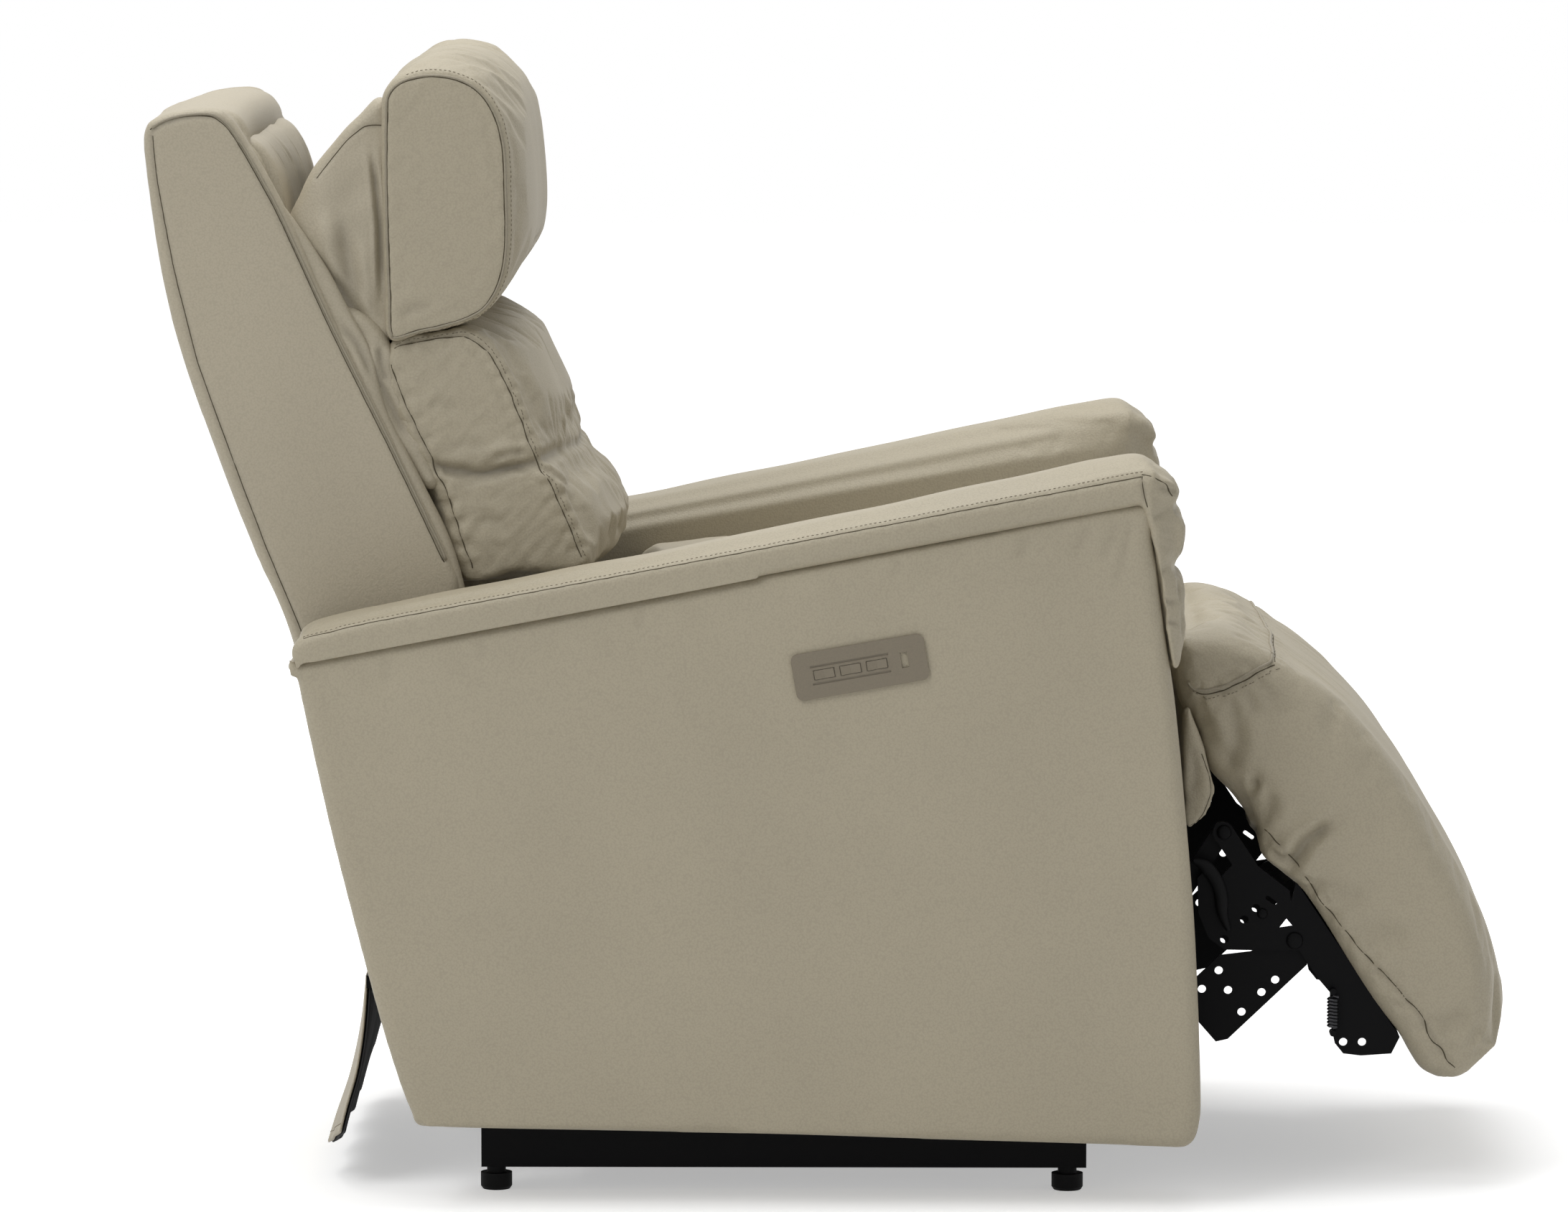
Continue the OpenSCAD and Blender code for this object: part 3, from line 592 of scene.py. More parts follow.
def finished(name, group, inputs, bump, depth, sockets):
    """Material that takes its colour, roughness and relief from a node group."""
    material, tree, shader = new_material(name)
    skin = node(tree, "ShaderNodeGroup", node_tree=group)
    feed(tree, skin, inputs)
    out = skin.outputs
    relief = node(tree, "ShaderNodeBump", {"Strength": bump, "Distance": depth, "Height": out["Height"]})
    feed(tree, shader, {"Base Color": out["Colour"], "Roughness": out["Roughness"],
                        "Normal": relief.outputs[0], **sockets})
    return material


def leather(name, colour, bump=0.35):
    """Grained leather, with painted shade that darkens it where it is creased."""
    # painted shade: the darker colour that creases are painted toward
    fold = tuple(c * 0.42 for c in colour[:3]) + (1.0,)
    look = {"Colour": colour, "Crease shade colour": fold, "Grain size": 520.0, "Roughness": 0.5}
    return finished(name, PEBBLES, look, bump, 0.0006, {"Specular IOR Level": 0.42})


def surface_group():
    """Slow noise for paint, plastic and metal: a tint, a roughness and a fine height."""
    group, given, place = finish_group("fine surface", {
        "Colour": (0.5, 0.5, 0.5, 1), "Variation": 0.15, "Scale": 300.0, "Roughness": 0.4})
    grit = noise(group, place, given["Scale"], 4).outputs["Fac"]
    factor = maths(group, "MULTIPLY_ADD", maths(group, "SUBTRACT", grit, 0.5), given["Variation"], 1.0)
    tinted = scaled(group, given["Colour"], factor)
    rough = maths(group, "MULTIPLY", given["Roughness"], factor)
    node(group, "NodeGroupOutput", {"Colour": tinted, "Roughness": rough, "Height": grit})
    return group


def new_material(name):
    """Material with its node tree and its main shader."""
    material = bpy.data.materials.new(name)
    material.use_nodes = True
    return material, material.node_tree, material.node_tree.nodes["Principled BSDF"]


def hard(name, colour, roughness, metal=0.0, scale=300.0, bump=0.1, gloss=0.5):
    """Thread, board, plastic, paint or bare metal."""
    look = {"Colour": colour, "Variation": 0.3, "Scale": scale, "Roughness": roughness}
    return finished(name, FINE_SURFACE, look, bump, 0.0003, {"Metallic": metal, "Specular IOR Level": gloss})


PEBBLES = leather_group()
FINE_SURFACE = surface_group()
LEATHER = leather("leather", srgb(171, 162, 141))
LEATHER_BACK = leather("back leather", srgb(175, 166, 146))
THREAD = hard("thread", srgb(118, 110, 92), 0.7)
# painted shadow: dark colour of the line laid in the groove of each seam
SEAM_SHADOW = hard("seam shadow", srgb(82, 75, 60), 0.8, gloss=0.2)
PIPING = leather("piping leather", srgb(150, 142, 124), bump=0.2)
LINING = hard("black lining", srgb(26, 26, 27), 0.9, scale=900, bump=0.4)
BOARD = hard("board", srgb(196, 164, 120), 0.7, scale=60)
PANEL = hard("panel plate", srgb(121, 112, 95), 0.45, scale=700)
PORT = hard("port metal", srgb(190, 190, 194), 0.25, metal=1.0)
STEEL = hard("bare steel", srgb(120, 121, 124), 0.35, metal=1.0)
DARK_STEEL = hard("dark spring steel", srgb(52, 52, 54), 0.4, metal=0.8, scale=500)
BLACK_STEEL = hard("black steel", srgb(6, 6, 7), 0.5, scale=500, gloss=0.08)
BLACK_PLASTIC = hard("black plastic", srgb(8, 8, 9), 0.6, scale=800, gloss=0.12)

# the material of each of the record's slots
LOOKS = {"leather": LEATHER, "leather_back": LEATHER_BACK, "board": BOARD, "panel": PANEL, "port_metal": PORT,
         "bare_steel": STEEL, "black_plastic": BLACK_PLASTIC, "black_steel": BLACK_STEEL}

for part in frame["record"]["subparts"]:
    cad = frame["nodes"][part["node"]]
    look = LOOKS[part["material_slot"]]
    # painted shade: the charging port is given black plastic so that its slot shows dark, standing in for the
    # shade inside it
    if part["node"] == "usb_port":
        look = BLACK_PLASTIC
    elif part["node"].startswith("foot_spring"):
        look = DARK_STEEL
    elif part["node"] == "footrest_board":
        look = LINING
    cad.data.materials.clear()
    cad.data.materials.append(look)


# arms

SIDE_PANEL = [(-505, 519), (-503, 500), (-486, 418), (-466, 330), (-430, 189), (-412, 128),
              (-402, 100), (-395, 86), (-382, 77), (-200, 73), (-47, 70), (80, 66), (167, 63.5),
              (250, 61), (306, 59), (329, 58.5), (339, 65), (343, 79), (345, 109),
              (339, 257), (330, 368), (319, 479), (307, 560), (297, 633), (289, 668),
              (100, 633), (-100, 595), (-300, 557)]


def side_panel():
    """Upholstered side of the right arm with its rounded edges and soft draws under the pad."""
    loop = catmull(SIDE_PANEL, 10, True)
    into = inward(loop)
    rows = [(step - arm_out, inset) for step, inset in rounding(12, 9)]
    rows += [(y, 0.0) for y in np.linspace(-arm_out + 18, -arm_in - 22, 6)]
    rows += [(-arm_in - PANEL_BACK - step, inset) for step, inset in reversed(rounding(8, 5))]
    obj = loft("arm_side_right", [(y, loop + into * inset) for y, inset in rows])
    skin = Surface(refine(remesh(obj, 6, 4, 3)))
    x, y, z = skin.co.T
    under = arm_top(x) - z
    outer = np.clip((-y - arm_out + 6) / 6, 0, 1)
    skin.ripple(np.exp(-((under - 26) / 22) ** 2) * outer, 0.9, 55, SEED)
    skin.ripple(outer, 0.6, 260, SEED + 1)
    for k, (start, run) in enumerate(((265, 44), (238, 30), (275, 70), (180, 24), (60, 20), (-180, 22),
                                      (-330, 26), (-420, 30))):
        top = arm_top(start) - 4
        draw = [(start, top), (start - 5 + k, top - run * 0.5), (start - 16 + 2 * k, top - run)]
        skin.fold(at(-arm_out, draw), 0.9, 5, 0.1, 0.3)
    return skin.done()


PANEL_BACK = 3      # how far the panel stands back from the inner face of the arm
FLAP = 11           # thickness of the flap of the pad on the inner side
FLAP_DROP = 46      # how far that flap hangs below the seam of the outer side


def roll_back(x, z):
    """How far the ends of the pad draw in, where it rolls down over the front of the arm."""
    edge = np.interp(z, (515, 560, 633, 668, 700), (311, 305, 296, 292, 298))
    deep = np.interp(z, (600, 680), (28, 14))
    return deep * np.clip((x - edge) / 22, 0, 1) ** 1.2


def arm_pad():
    """Padded top of the right arm, rolling down over the front in three gathers."""
    under = [(-509, 528), (-504, 516)] + on_arm([(x, 0.5) for x in (-480, -300, -100, 99, 240, 274, 285)])
    under += [(289, 656), (296, 634), (303, 600), (309, 556), (315, 515)]
    front = [(320, 509), (326, 520), (328, 552), (326, 586), (318, 605), (325, 619), (328, 642),
             (320, 664), (323, 674), (318, 686), (305, 694)]
    side_top = on_arm([(285, 31), (170, 31), (20, 31), (-60, 31), (-130, 31), (-280, 31), (-430, 31),
                       (-480, 28)])
    mid_top = on_arm([(285, 45), (240, 43), (150, 41), (20, 38), (-130, 35), (-280, 33), (-430, 32),
                      (-484, 28)])
    side, mid = under + front + side_top + [(-500, 541)], under + front + mid_top + [(-503, 541)]
    half, middle = (pad_out - arm_in) / 2, -(pad_out + arm_in) / 2
    steps = 8
    flat = 9 * steps
    hung = []
    for y, loop in cushion_rows(side, mid, half, 9, 2.4, 1.0, 22, steps):
        if y > half - FLAP:
            loop[:flat, 1] -= FLAP_DROP * np.clip(np.arange(flat) / (2 * steps), 0, 1)
        hung.append((y + middle, loop))
    obj = remesh(loft("arm_pad_right_cover", hung), 4, 5, 2, math.degrees(math.atan(arm_slope)))
    seam = at(1 - pad_out, on_arm([(x, 30) for x in (-500, -400, -250, -100, 50, 200, 286)]))
    swell(obj, 5, 3.0, seam_hold([seam, at(2 - pad_out, under[1:])], 6))
    co, _ = points_of(obj)
    co[:, 1] = middle + (co[:, 1] - middle) * (1 - roll_back(co[:, 0], co[:, 2]) / half)
    set_points(obj, co)
    skin = Surface(refine(obj))
    x, y, z = skin.co.T
    near, shy = -pad_out, 12 - pad_out
    upright = at(near, [(286, 695), (288, 680), (291, 664)])
    over = [(286, near, 698), (299, near + 1, 694), (311, near + 6, 686), (318, near + 12, 674)]
    skin.groove(seam, 1.6, 2.6, 0.6, 0.35, 26, 2)
    skin.groove(over, 1.6, 2.6, 0.6)
    skin.groove(upright, 1.6, 2.6, 0.6)
    for z0, deep, seed in ((665, 6.5, 1), (606, 7.5, 2)):
        path = [(325 + 3 * math.sin(y0 * 0.09 + seed), -arm_in - (y0 - arm_in) * 0.72 - 14,
                 z0 + 5 * math.sin(y0 * 0.06 + seed)) for y0 in np.linspace(arm_in - 4, pad_out + 2, 14)]
        last = path[-1][2]
        skin.groove(path + [(314, 10 - pad_out, last - 3), (304, 2 - pad_out, last - 8)], deep, 4.5, 0.9)
    gathers = ((((328, 0, 536), (327, -4, 572), (320, 3, 598)), 2.4, 3.4, 0.4),
               (((322, 5, 613), (328, 7, 632), (324, 3, 654)), 2.0, 3.2, 0.4),
               (((322, -4, 669), (323, -3, 677), (314, 0, 688)), 1.6, 3.2, 0.35))
    for y0 in np.linspace(arm_in + 27, pad_out - 27, 7):
        for path, *look in gathers:
            skin.fold([(x0, dy - y0, z0) for x0, dy, z0 in path], *look)
    for z0 in (556, 576, 626, 644, 680):
        skin.fold([(302, near + 2, z0 + 4), (312, shy - 2, z0), (322, shy + 8, z0 - 3)], 1.8, 3.0, 0.4)
    skin.ripple(np.clip((z - arm_top(x) - 28) / 10, 0, 1), 0.9, 130, SEED + 2)
    skin.ripple((x > 296) * 1.0, 0.7, 30, SEED + 30)
    return skin.done(), (seam, upright, over)


def build_arms():
    panel = side_panel()
    pad, lines = arm_pad()
    finish_piece(panel, "base", "leather", ["arm_cover_right"])
    finish_piece(mirrored(panel, "arm_side_left"), "base", "leather", ["arm_cover_left"])
    pad_left = mirrored(pad, "arm_pad_left_cover")
    finish_piece(pad, "base", "leather", ["arm_pad_right"])
    finish_piece(pad_left, "base", "leather", ["arm_pad_left"])
    for cover, side, sign in ((pad, "right", 1), (pad_left, "left", -1)):
        row = [(x, y + 4, z + 5) for x, y, z in lines[0]]
        stitch_row(f"arm_stitch_{side}", cover, mirror_path(row, sign))
        for k, line in enumerate(lines):
            seam_line(f"arm_seam_{side}_{k}", cover, mirror_path(line, sign))


build_arms()


# back

BACK_REAR = [(-442, 216), (-460, 300), (-487, 416), (-517, 534), (-549, 612), (-581, 695),
             (-616, 791), (-637, 873), (-653, 984), (-651, 1013)]
WING_TOP = [(-640, 1021), (-620, 1027), (-587, 1029), (-572, 1020), (-559, 1000)]
WING_FRONT = [(-526, 940), (-479, 836), (-420, 717), (-366, 604), (-357, 570), (-366, 520), (-404, 470)]
BACK_LOW = [(-418, 400), (-420, 300), (-424, 222)]
HOLLOW_TOP = [(-640, 1019), (-614, 1027), (-588, 1028), (-566, 1021), (-556, 1000)]
HOLLOW_FRONT = [(-560, 962), (-546, 862), (-514, 756), (-470, 624), (-448, 560), (-430, 510), (-424, 470)]
REAR_SEAM = [(-646, 1004), (-642, 962), (-626, 878), (-604, 790), (-570, 695), (-539, 612), (-507, 534),
             (-477, 416)]
TOP_SEAM = [(-646, 1012), (-638, 1018), (-620, 1024), (-600, 1026), (-586, 1025), (-573, 1016), (-559, 996)]
FRONT_SEAM = [(-528, 939), (-480, 835), (-421, 716), (-368, 603)]


def back_shell():
    """Rear panel and side wings of the back, open to the front between the wings."""
    wing = catmull(BACK_REAR + WING_TOP + WING_FRONT + BACK_LOW, 8, True)
    hollow = catmull(BACK_REAR + HOLLOW_TOP + HOLLOW_FRONT + BACK_LOW, 8, True)
    into = inward(wing)
    inner = 232     # half of the width between the wings
    rows = [(step - back_half, wing + into * inset) for step, inset in rounding(9, 8)]
    rows += [(-inner - 10, wing), (-inner - 3, wing + into * 3), (-inner + 1, wing * 0.7 + hollow * 0.3),
             (-inner + 4, wing * 0.25 + hollow * 0.75)]
    upper = (hollow[:, 1] > 985)[:, None]
    for y in np.linspace(-inner + 10, inner - 10, 21):
        up = 3 * (1 - (y / inner) ** 2)
        rows.append((y, hollow + np.where(upper, [[-1.0, up]], [[0.0, 0.0]])))
    rows += [(-y, loop) for y, loop in reversed(rows[:12])]
    skin = Surface(refine(remesh(loft("back_shell_cover", rows), 5, 5, 3, -72)))
    y = np.abs(skin.co[:, 1])
    for s, _ in SIDES:
        edge = s * (back_half - 1)
        skin.groove(at(edge, REAR_SEAM), 1.6, 2.8, 0.5)
        skin.groove(at(edge, [(x + 1, z - 3) for x, z in TOP_SEAM]), 1.2, 2.8, 0.5)
        skin.groove(at(edge, [(x - 3, z) for x, z in TOP_SEAM[-1:] + FRONT_SEAM]), 1.4, 2.8, 0.5)
        skin.bulge((-530, s * back_half, 760), (60, 60, 260), 3.5)
        for k, z in enumerate((694, 648)):
            skin.fold(at(edge, [(-570 + 14 * k, z), (-556 + 16 * k, z - 22)]), 1.4, 3.5, 0.3)
    skin.ripple(np.clip((y - back_half + 8) / 8, 0, 1), 0.7, 190, SEED + 3)
    rear = np.clip(-skin.no[:, 0], 0, 1) * (y < back_half - 12)
    skin.bulge((-590, 0, 740), (90, 210, 260), 7)
    skin.ripple(rear, 0.8, 170, SEED + 4)
    skin.groove(at(0, [(x - 4, z) for x, z in BACK_REAR[1:-1]]), 2.2, 3.2, 0.6, 0.5, 24, 5)
    skin.groove([(-545, y0, 600) for y0 in (-250, -120, 0, 120, 250)], 2.0, 3.2, 0.6, 0.6, 22, 6)
    return skin.done()


def strand(name, line, side, middle, depth, behind, before, sides=16):
    """Oval band along a line of X and Z, standing out of it from behind to before, around |Y| = middle."""
    path = catmull(line, 8, False)
    ahead = unit(np.gradient(path, axis=0))
    out = np.stack([-ahead[:, 1], ahead[:, 0]], axis=1)
    out *= np.sign(out[:, :1])
    along = np.linspace(0, 1, len(path))
    behind, before = np.interp(along, *zip(*behind)), np.interp(along, *zip(*before))
    verts = []
    for (x, z), (ox, oz), low, high in zip(path, out, behind, before):
        for a in np.arange(sides) * 2 * math.pi / sides:
            step = (high + low) / 2 + (high - low) / 2 * math.cos(a)
            verts.append((x + ox * step, side * (middle + depth * math.sin(a)), z + oz * step))
    return face_out(new_mesh(name, verts, ring_faces(len(path), sides) + end_caps(len(path), sides)))


def wing_strip(side, word):
    """Narrow strip that swells out between a wing and the cushions."""
    line = [(-546, 962), (-520, 912), (-470, 808), (-415, 697), (-372, 616), (-356, 570)]
    reach = ((0, 3), (0.12, 8), (0.3, 22), (0.42, 22), (0.52, 12), (0.7, 8), (1, 6))
    strip = strand("wing_strip_" + word, line, side, back_half - 16, 9, ((0, -6), (1, -6)), reach)
    skin = Surface(refine(refine(strip)))
    skin.ripple(1.0, 1.0, 60, SEED + 8)
    skin.fold(at(side * (back_half - 8), [(-470, 826), (-452, 806), (-436, 774)]), 3.0, 4, 0.4)
    return skin.done()


def block(name, loop, outer, inner, edge, size, sign):
    """Soft block between two planes across the chair, with round edges."""
    loop = catmull(loop, 8, True)
    into = inward(loop)
    ends = rounding(edge, 7)
    rows = [(outer - step, loop + into * inset) for step, inset in ends]
    rows += [(y, loop) for y in np.linspace(outer - edge * 1.5, inner + edge * 1.5, 5)]
    rows += [(inner + step, loop + into * inset) for step, inset in reversed(ends)]
    return remesh(loft(name, [(sign * y, l) for y, l in rows]), size)


CORNER = [(-474, 838), (-452, 838), (-430, 822), (-421, 796), (-420, 778), (-405, 742), (-388, 706),
          (-374, 676), (-390, 668), (-422, 712), (-452, 772)]
TOP_PUFF = [(-592, 1000), (-566, 1004), (-548, 984), (-528, 936), (-506, 890), (-486, 846), (-500, 834),
            (-530, 850), (-560, 900), (-584, 960)]


def corner_puff(side, word):
    """Loose leather low between a wing, the headrest and the back cushion."""
    skin = Surface(refine(block("corner_puff_" + word, CORNER, 245, 190, 12, 4, side)))
    y0 = side * 246
    skin.fold(at(y0, [(-446, 800), (-436, 778), (-420, 744), (-404, 712)]), 4.0, 4.5, 0.5)
    skin.fold(at(y0, [(-432, 806), (-430, 784), (-424, 766)]), 4.0, 4.0, 0.5)
    skin.bulge((-440, y0, 780), (14, 20, 20), 3)
    skin.ripple(1.0, 1.0, 40, SEED + 31)
    return skin.done()


def hollow_lining():
    """Padded leather over the board that shows between the wings behind the headrest."""
    low, high = np.array([-414, 470]), np.array([-588, 985])
    up = (high - low) / np.linalg.norm(high - low)
    fore = np.array([up[1], -up[0]])
    outline = ((-340, -4), (-120, -5), (0, -4), (8, 2), (12, 16), (6, 34), (-10, 46), (-44, 51), (-90, 45),
               (-150, 36), (-240, 26), (-334, 20))
    loop = [high + up * a + fore * b for a, b in outline]
    skin = Surface(refine(block("hollow_lining", loop, 227, -227, 10, 5, 1)))
    for y0 in (-150, -50, 60, 160):
        skin.fold([(-552, y0, 994), (-534, y0 + 6, 968), (-524, y0 - 6, 930), (-514, y0, 900)], 3.0, 7, 0.25)
    skin.ripple(1.0, 1.2, 90, SEED + 33)
    return skin.done()


def top_puff(side, word):
    """Round leather puffs on the inner face of a wing, beside the headrest."""
    skin = Surface(refine(block("top_puff_" + word, TOP_PUFF, 236, 206, 13, 4, side)))
    y0 = side * 206
    skin.fold(at(y0, [(-566, 936), (-546, 926), (-520, 930)]), 6, 7, 0.5)
    skin.fold(at(y0, [(-540, 880), (-520, 896), (-500, 900)]), 5, 6, 0.5)
    skin.bulge((-560, y0, 966), (26, 30, 26), 5)
    skin.bulge((-524, y0, 912), (20, 30, 14), 5)
    skin.ripple(1.0, 1.0, 60, SEED + 11)
    return skin.done()


CUSHION_SIDE = [(-347, 583), (-300, 586), (-248, 588), (-234, 602), (-248, 640), (-265, 674),
                (-277, 698), (-290, 734), (-305, 771), (-322, 803), (-347, 823), (-378, 820),
                (-420, 811), (-428, 780), (-414, 742), (-400, 708), (-376, 668)]
CUSHION_MID = [(-424, 592), (-330, 584), (-230, 584), (-198, 604), (-217, 640), (-234, 674),
               (-246, 698), (-263, 734), (-278, 771), (-298, 808), (-330, 830), (-370, 830),
               (-420, 814), (-476, 735), (-462, 684), (-446, 637), (-436, 612)]
CUSHION_FRONT = [(-422, 805), (-400, 811), (-376, 815), (-350, 817), (-328, 801), (-311, 770), (-296, 733),
                 (-284, 697), (-270, 674), (-254, 639), (-240, 604)]
CUSHION_REAR = [(-424, 786), (-410, 750), (-390, 709), (-380, 686), (-372, 660), (-358, 623), (-346, 592)]


def back_cushion():
    """Back cushion in two fat folds with a tuck between them."""
    half = cushion_half
    rows = cushion_rows(CUSHION_SIDE, CUSHION_MID, half, 10, 2.6, 3.0)
    obj = remesh(loft("back_cushion_cover", rows), 5)
    tuck = [(-246 - 30 * abs(t) ** 2.4, t * (half + 2), 699 - 3 * math.cos(5 * t))
            for t in np.linspace(-1, 1, 25)]
    hold = seam_hold([at(s * (half - 6), CUSHION_FRONT) for s, _ in SIDES] + [tuck], 7)
    swell(obj, 9, 4.0, lambda co: np.maximum(hold(co), (co[:, 0] < -400) * 1.0), 0.03)
    skin = Surface(refine(obj))
    skin.groove(tuck, 4.5, 6, 0.5, 1.2, 34, 3)
    for s, _ in SIDES:
        edge = s * half
        skin.groove([p for p in tuck if s * p[1] > half * 0.6], 8, 7, 0.7)
        skin.groove(at(edge, CUSHION_FRONT), 2.6, 3.2, 0.6, 1.0, 17, 3 + s)
        skin.groove(at(edge, CUSHION_REAR), 2.4, 3.2, 0.5, 1.6, 23, 5 + s)
        skin.groove(at(edge, [(-283, 694), (-306, 689), (-337, 682), (-378, 688)]), 8, 6, 0.85)
        skin.bulge((-320, edge, 704), (40, 20, 10), 3)
        skin.fold(at(edge, [(-290, 703), (-306, 703), (-326, 696)]), 3, 4, 0.3)
        for path, deep, shade in ((((-283, 0, 695), (-270, 4, 701), (-258, 14, 709), (-248, 34, 718)),
                                   7, 0.7),
                                  (((-283, 0, 692), (-266, 6, 684), (-248, 24, 668)), 5, 0.5)):
            skin.fold([(x, s * (half - y), z) for x, y, z in path], deep, 4.5, shade)
        for k, (x0, z0) in enumerate(((-388, 744), (-372, 706), (-356, 672), (-344, 634))):
            run = 30 + 16 * math.sin(2.1 * k)
            skin.fold(at(edge, [(x0, z0), (x0 + run * 0.5, z0 + 5), (x0 + run, z0 - 2)]), 1.8, 6, 0.1)
    for k, y0 in enumerate(np.linspace(-200, 200, 9)):
        tilt = 26 * math.sin(k * 2.3)
        skin.fold([(-236, y0, 696), (-244, y0 + tilt * 0.5, 716), (-258, y0 + tilt, 742)], 3.0, 7, 0.3)
        y0 += 12
        skin.fold([(-228, y0, 682), (-212, y0 - tilt * 0.4, 664), (-200, y0 - tilt, 640)], 2.8, 7, 0.3)
    skin.ripple(1.0, 1.1, 110, SEED + 9)
    return skin.done()


def build_back():
    shell = back_shell()
    finish_piece(shell, "back", "leather_back", ["back_shell"])
    finish_piece(hollow_lining(), "back", "leather_back")
    rim = TOP_SEAM + FRONT_SEAM
    for s, side in SIDES:
        edge = s * (back_half + 1)
        welt(f"wing_welt_{side}", shell, at(edge, rim), 1.4)
        inside = [(x - 2.2, z - 1.8) for x, z in rim]
        for k, line in enumerate((inside, REAR_SEAM)):
            seam_line(f"wing_seam_{side}_{k}", shell, at(edge, line))
        finish_piece(wing_strip(s, side), "back", "leather_back")
        finish_piece(top_puff(s, side), "back", "leather_back")
        finish_piece(corner_puff(s, side), "back", "leather_back")
    cushion = back_cushion()
    finish_piece(cushion, "back", "leather", ["back_cushion"])
    for s, side in SIDES:
        edge = s * (cushion_half + 1)
        for k, line in enumerate((CUSHION_FRONT, CUSHION_REAR)):
            seam_line(f"cushion_seam_{side}_{k}", cushion, at(edge, line))
        stitch_row(f"cushion_stitch_{side}", cushion, at(edge, [(x + 4, z + 2) for x, z in CUSHION_FRONT]))


# headrest

HEAD_SIDE = [(-424, 809), (-394, 813), (-356, 822), (-329, 836), (-313, 863), (-307, 895), (-307, 936),
             (-310, 1000), (-323, 1037), (-345, 1058), (-377, 1066), (-409, 1061), (-427, 1046),
             (-430, 1022), (-431, 962), (-430, 910), (-428, 858)]
HEAD_MID = [(-424, 820), (-385, 824), (-346, 832), (-320, 846), (-304, 872), (-297, 902), (-295, 936),
            (-299, 1002), (-307, 1040), (-326, 1071), (-362, 1087), (-406, 1074), (-431, 1045),
            (-433, 1018), (-431, 962), (-430, 910), (-428, 860)]


def head_line(inset):
    """Closed line on the headrest's side panel, inset from its edge."""
    edge = catmull(HEAD_SIDE, 6, True)
    return edge + inward(edge) * inset


def headrest():
    """Headrest with flat side panels and one wide band round its front."""
    rows = cushion_rows(HEAD_SIDE, HEAD_MID, head_half, 7, 5.0, 2.0)
    obj = remesh(loft("headrest_cover", rows), 5)
    border = head_line(3)
    border = np.vstack([border, border[:1]])
    hold = seam_hold([at(s * (head_half - 3), border) for s, _ in SIDES], 6)
    swell(obj, 7, 4.0, lambda co: np.maximum(hold(co), (co[:, 0] < -420) * 1.0), 0.01)
    skin = Surface(refine(obj))
    for s, _ in SIDES:
        y0 = s * head_half
        skin.groove(at(y0, border), 1.8, 2.8, 0.55, 0.3, 24, 3)
        skin.fold(at(y0, [(-412, 832), (-400, 840), (-382, 842)]), 1.6, 5, 0.2)
        skin.fold([(-352, s * (head_half - 16), 830), (-338, s * (head_half - 40), 836)], 2.0, 5, 0.2)
    skin.groove([(-438, y, 1040 + 3 * math.cos(y * 0.03)) for y in np.linspace(-250, 250, 20)], 1.4, 3, 0.5)
    skin.ripple(1.0, 0.9, 150, SEED + 12)
    for y0 in (-150, 150):
        skin.bulge((-290, y0, 950), (60, 90, 80), 3)
    return skin.done(), border


GUSSET = [(-414, 880), (-412, 960), (-414, 1010), (-431, 1038), (-455, 1020), (-474, 998),
          (-496, 970), (-516, 930), (-520, 896), (-508, 860), (-484, 828), (-456, 810), (-426, 806),
          (-414, 826)]


def head_gusset():
    """Loose leather that fills the corner between the headrest and the right wing."""
    skin = Surface(refine(block("head_gusset_cover_right", GUSSET, 238, 176, 13, 4, -1)))
    face = -240
    skin.bulge((-481, face, 908), (19, 30, 40), 11)
    skin.bulge((-444, face, 890), (10, 30, 60), 5)
    skin.fold(at(face, [(-477, 938), (-470, 915), (-463, 890), (-459, 862), (-452, 838)]), 3.5, 7, 0.28)
    skin.fold(at(face, [(-440, 994), (-436, 960), (-432, 920), (-431, 880), (-430, 846)]), 5, 2.8, 0.6)
    skin.fold(at(face, [(-495, 898), (-480, 872), (-460, 842), (-440, 820)]), 5, 6, 0.5)
    shoulder = at(face, [(-424, 1013), (-447, 1012), (-463, 1000), (-479, 982), (-493, 964)])
    skin.groove(shoulder, 2.0, 2.8, 0.6)
    skin.ripple(1.0, 1.2, 48, SEED + 14)
    return skin.done(), shoulder


def build_headrest():
    pad, border = headrest()
    finish_piece(pad, "headrest", "leather", ["headrest_pad"])
    for s, side in SIDES:
        edge = s * (head_half + 1)
        welt(f"headrest_welt_{side}", pad, at(edge, border), 1.2)
        seam_line(f"headrest_seam_{side}", pad, at(edge, head_line(5.2)), 0.55)
        stitch_row(f"headrest_stitch_{side}", pad, at(s * (head_half - 5), head_line(-2.5)[6:66]))
    gusset, shoulder = head_gusset()
    twin = mirrored(gusset, "head_gusset_cover_left")
    for cover, side, sign in ((gusset, "right", 1), (twin, "left", -1)):
        line = mirror_path(shoulder, sign)
        # the gusset's seam gets the dark line of painted shadow too
        bridge(laid_tube(f"gusset_seam_{side}", cover, line, 0.55, SEAM_LIFT, SEAM_STEP), SEAM_SHADOW)
        bridge(cover, LEATHER_BACK)
        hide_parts("head_gusset_" + side)


def bridge(obj, material):
    """Leather that joins the back to the headrest, with a material and its place baked into its mesh."""
    dress(obj, material)
    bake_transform(obj)


build_back()
build_headrest()


# seat and footrest

